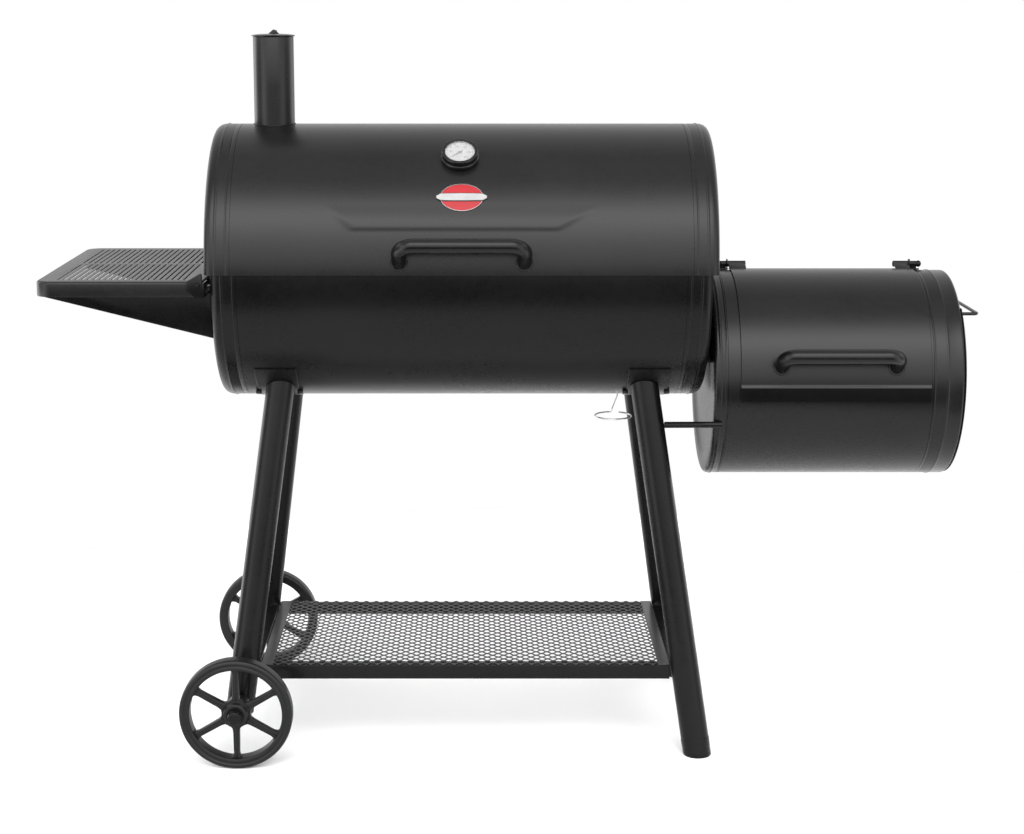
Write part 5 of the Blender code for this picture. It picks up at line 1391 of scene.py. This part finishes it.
def build_brace():
    shape = Shape()
    z = 0.580
    leg = leg_centre(1, -1.0, z)
    radius = 0.0055
    surface_y = -math.sqrt(FIREBOX_R ** 2 - (z - FIREBOX.z) ** 2)
    end_y = surface_y - radius - 2 * GAP
    corners = [(leg.x + LEG_R + 0.0008, leg.y - 0.012, z), (FIRE_LEFT - 0.012, end_y, z + 0.0065),
               (FIRE_LEFT + 0.014, end_y, z + 0.0065)]
    shape.tube(fillet(corners, 0.03, 6), radius, LEG_PAINT, 24)
    shape.done("brace_rod", "grill", "leg_paint", "firebox_brace")


# ---------------------------------------------------------------- carried-over nodes

def dress_ledges():
    for node in ("grate_ledge_front", "grate_ledge_rear"):
        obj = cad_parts[node]
        obj.data.materials.clear()
        obj.data.materials.append(INSIDE)


# ---------------------------------------------------------------- stage, light and camera

CAMERA_AT = (BARREL.x + 0.0213, -3.4678, 1.2901)
CAMERA_TILT = 0.1876
CAMERA_LENS = 68.38
CAMERA_SHIFT = (0.03675, -0.0361)


FLOOR_RADIUS = 1.5


def build_stage():
    material, tree, shader, place = new_material("studio_floor")
    drift = add_noise(tree, place, 0.8, 4.0)
    tree.links.new(add_ramp(tree, drift, [(0.3, grey(0.82)), (0.7, grey(0.85))]), shader.inputs["Base Color"])
    tree.links.new(add_range(tree, drift, 0.62, 0.74), shader.inputs["Roughness"])
    shader.inputs["Specular IOR Level"].default_value = 0.2
    part = bmesh.new()
    bmesh.ops.create_circle(part, cap_ends=True, radius=FLOOR_RADIUS, segments=128)
    mesh = bpy.data.meshes.new("floor")
    part.to_mesh(mesh)
    part.free()
    mesh.materials.append(material)
    floor = bpy.data.objects.new("floor", mesh)
    scene.collection.objects.link(floor)


def area_light(name, at, target, size, power):
    data = bpy.data.lights.new(name, "AREA")
    data.shape = "RECTANGLE"
    data.size = size[0]
    data.size_y = size[1]
    data.energy = power
    light = bpy.data.objects.new(name, data)
    light.location = at
    light.rotation_euler = (Vector(target) - Vector(at)).to_track_quat("-Z", "Y").to_euler()
    scene.collection.objects.link(light)


WORLD_PEAK = 8.0
FRONT_SKY = ((-8.0, 0.05), (-4.0, 0.8), (1.0, 2.6), (10.0, 3.2), (19.0, 3.8), (32.0, 5.8), (39.0, 7.6),
             (46.0, 7.6), (53.0, 5.6), (60.0, 3.2), (68.0, 1.3), (78.0, 0.8), (90.0, 0.8))
BACK_SKY = ((-5.0, 0.9), (12.0, 1.0), (30.0, 0.95), (50.0, 1.0), (66.0, 1.0), (80.0, 0.85), (90.0, 0.8))
SIDE_GLOW = (3.4, -0.7)        # brightness at both sides and its lean from left to right


def sky_ramp(tree, height, stops):
    """Brightness against elevation, read from the height of a direction."""
    lowest = math.sin(math.radians(stops[0][0]))
    span = 1.0 - lowest
    colours = [((math.sin(math.radians(angle)) - lowest) / span, grey(value / WORLD_PEAK))
               for angle, value in stops]
    return add_ramp(tree, add_range(tree, height, 0.0, 1.0, (lowest, 1.0)), colours)


def world_gradient(tree):
    """Studio surroundings: a large soft light ahead and above, a softer room, dark below eye level."""
    place = tree.nodes.new("ShaderNodeTexCoord")
    parts = tree.nodes.new("ShaderNodeSeparateXYZ")
    tree.links.new(place.outputs["Generated"], parts.inputs["Vector"])
    x, y, z = (parts.outputs[name] for name in "XYZ")
    across = add_math(tree, "ADD", add_math(tree, "MULTIPLY", x, x), add_math(tree, "MULTIPLY", y, y))
    across = add_math(tree, "SQRT", add_math(tree, "ADD", across, 1e-6), 0.0)
    ahead = add_math(tree, "DIVIDE", add_math(tree, "MULTIPLY", y, -1.0), across)
    in_front = add_range(tree, ahead, 0.0, 1.0, (0.55, 0.86))
    mix = tree.nodes.new("ShaderNodeMix")
    mix.data_type = "RGBA"
    colours = [socket for socket in mix.inputs if socket.type == "RGBA"]
    tree.links.new(in_front, mix.inputs[0])
    tree.links.new(sky_ramp(tree, z, BACK_SKY), colours[0])
    tree.links.new(sky_ramp(tree, z, FRONT_SKY), colours[1])
    room = [socket for socket in mix.outputs if socket.type == "RGBA"][0]

    lean = add_math(tree, "ABSOLUTE", x, 0.0)
    sideways = add_math(tree, "MULTIPLY", add_range(tree, lean, 0.0, 1.0, (0.50, 0.80)),
                        add_range(tree, lean, 1.0, 0.0, (0.88, 0.97)))
    low_down = add_range(tree, z, 1.0, 0.0, (0.25, 0.70))
    side_mix = tree.nodes.new("ShaderNodeMix")
    side_mix.data_type = "RGBA"
    colours = [socket for socket in side_mix.inputs if socket.type == "RGBA"]
    tree.links.new(add_math(tree, "MULTIPLY", sideways, low_down), side_mix.inputs[0])
    tree.links.new(room, colours[0])
    level = add_math(tree, "ADD", add_math(tree, "MULTIPLY", x, SIDE_GLOW[1]), SIDE_GLOW[0])
    tree.links.new(add_math(tree, "DIVIDE", level, WORLD_PEAK), colours[1])
    return [socket for socket in side_mix.outputs if socket.type == "RGBA"][0]


def build_light():
    world = bpy.data.worlds.new("studio")
    scene.world = world
    world.use_nodes = True
    tree = world.node_tree
    background = tree.nodes["Background"]
    background.inputs["Strength"].default_value = WORLD_PEAK
    tree.links.new(world_gradient(tree), background.inputs["Color"])
    plain = tree.nodes.new("ShaderNodeBackground")
    plain.inputs["Color"].default_value = (1.0, 1.0, 1.0, 1.0)
    path = tree.nodes.new("ShaderNodeLightPath")
    choose = tree.nodes.new("ShaderNodeMixShader")
    tree.links.new(path.outputs["Is Camera Ray"], choose.inputs[0])
    tree.links.new(background.outputs[0], choose.inputs[1])
    tree.links.new(plain.outputs[0], choose.inputs[2])
    tree.links.new(choose.outputs[0], tree.nodes["World Output"].inputs["Surface"])
    area_light("softbox_top", (0.0, -0.6, 3.8), (0.0, 0.0, 0.0), (2.4, 1.6), 6.0)


def build_camera():
    data = bpy.data.cameras.new("camera")
    data.lens = CAMERA_LENS
    data.sensor_width = 36.0
    data.shift_x, data.shift_y = CAMERA_SHIFT
    data.clip_end = 200.0
    camera = bpy.data.objects.new("camera", data)
    camera.location = CAMERA_AT
    camera.rotation_euler = (math.pi / 2 - CAMERA_TILT, 0.0, 0.0)
    scene.collection.objects.link(camera)
    scene.camera = camera


# ---------------------------------------------------------------- assembly

build_lid_shell()
build_barrel_ends()
build_bowl_shell()
build_handle("lid_grip", "lid_handle", "lid", BARREL, LID_R, 0.2896, 11.6, 6.0)
build_gauge()
build_badge()
build_stack()
build_lid_hinges()
build_grates()
build_firebox()
build_door()
build_handle("door_grip", "firebox_door_handle", "door", FIREBOX, 0.1860, 0.228, 16.5, 12.5)
build_door_ears()
build_drawer()
build_legs()
build_saddles()
build_rails()
build_mesh_shelf()
build_wheels()
build_side_shelf()
build_hanger()
build_brace()
dress_ledges()
build_stage()
build_light()
build_camera()
scene.view_settings.view_transform = "Standard"
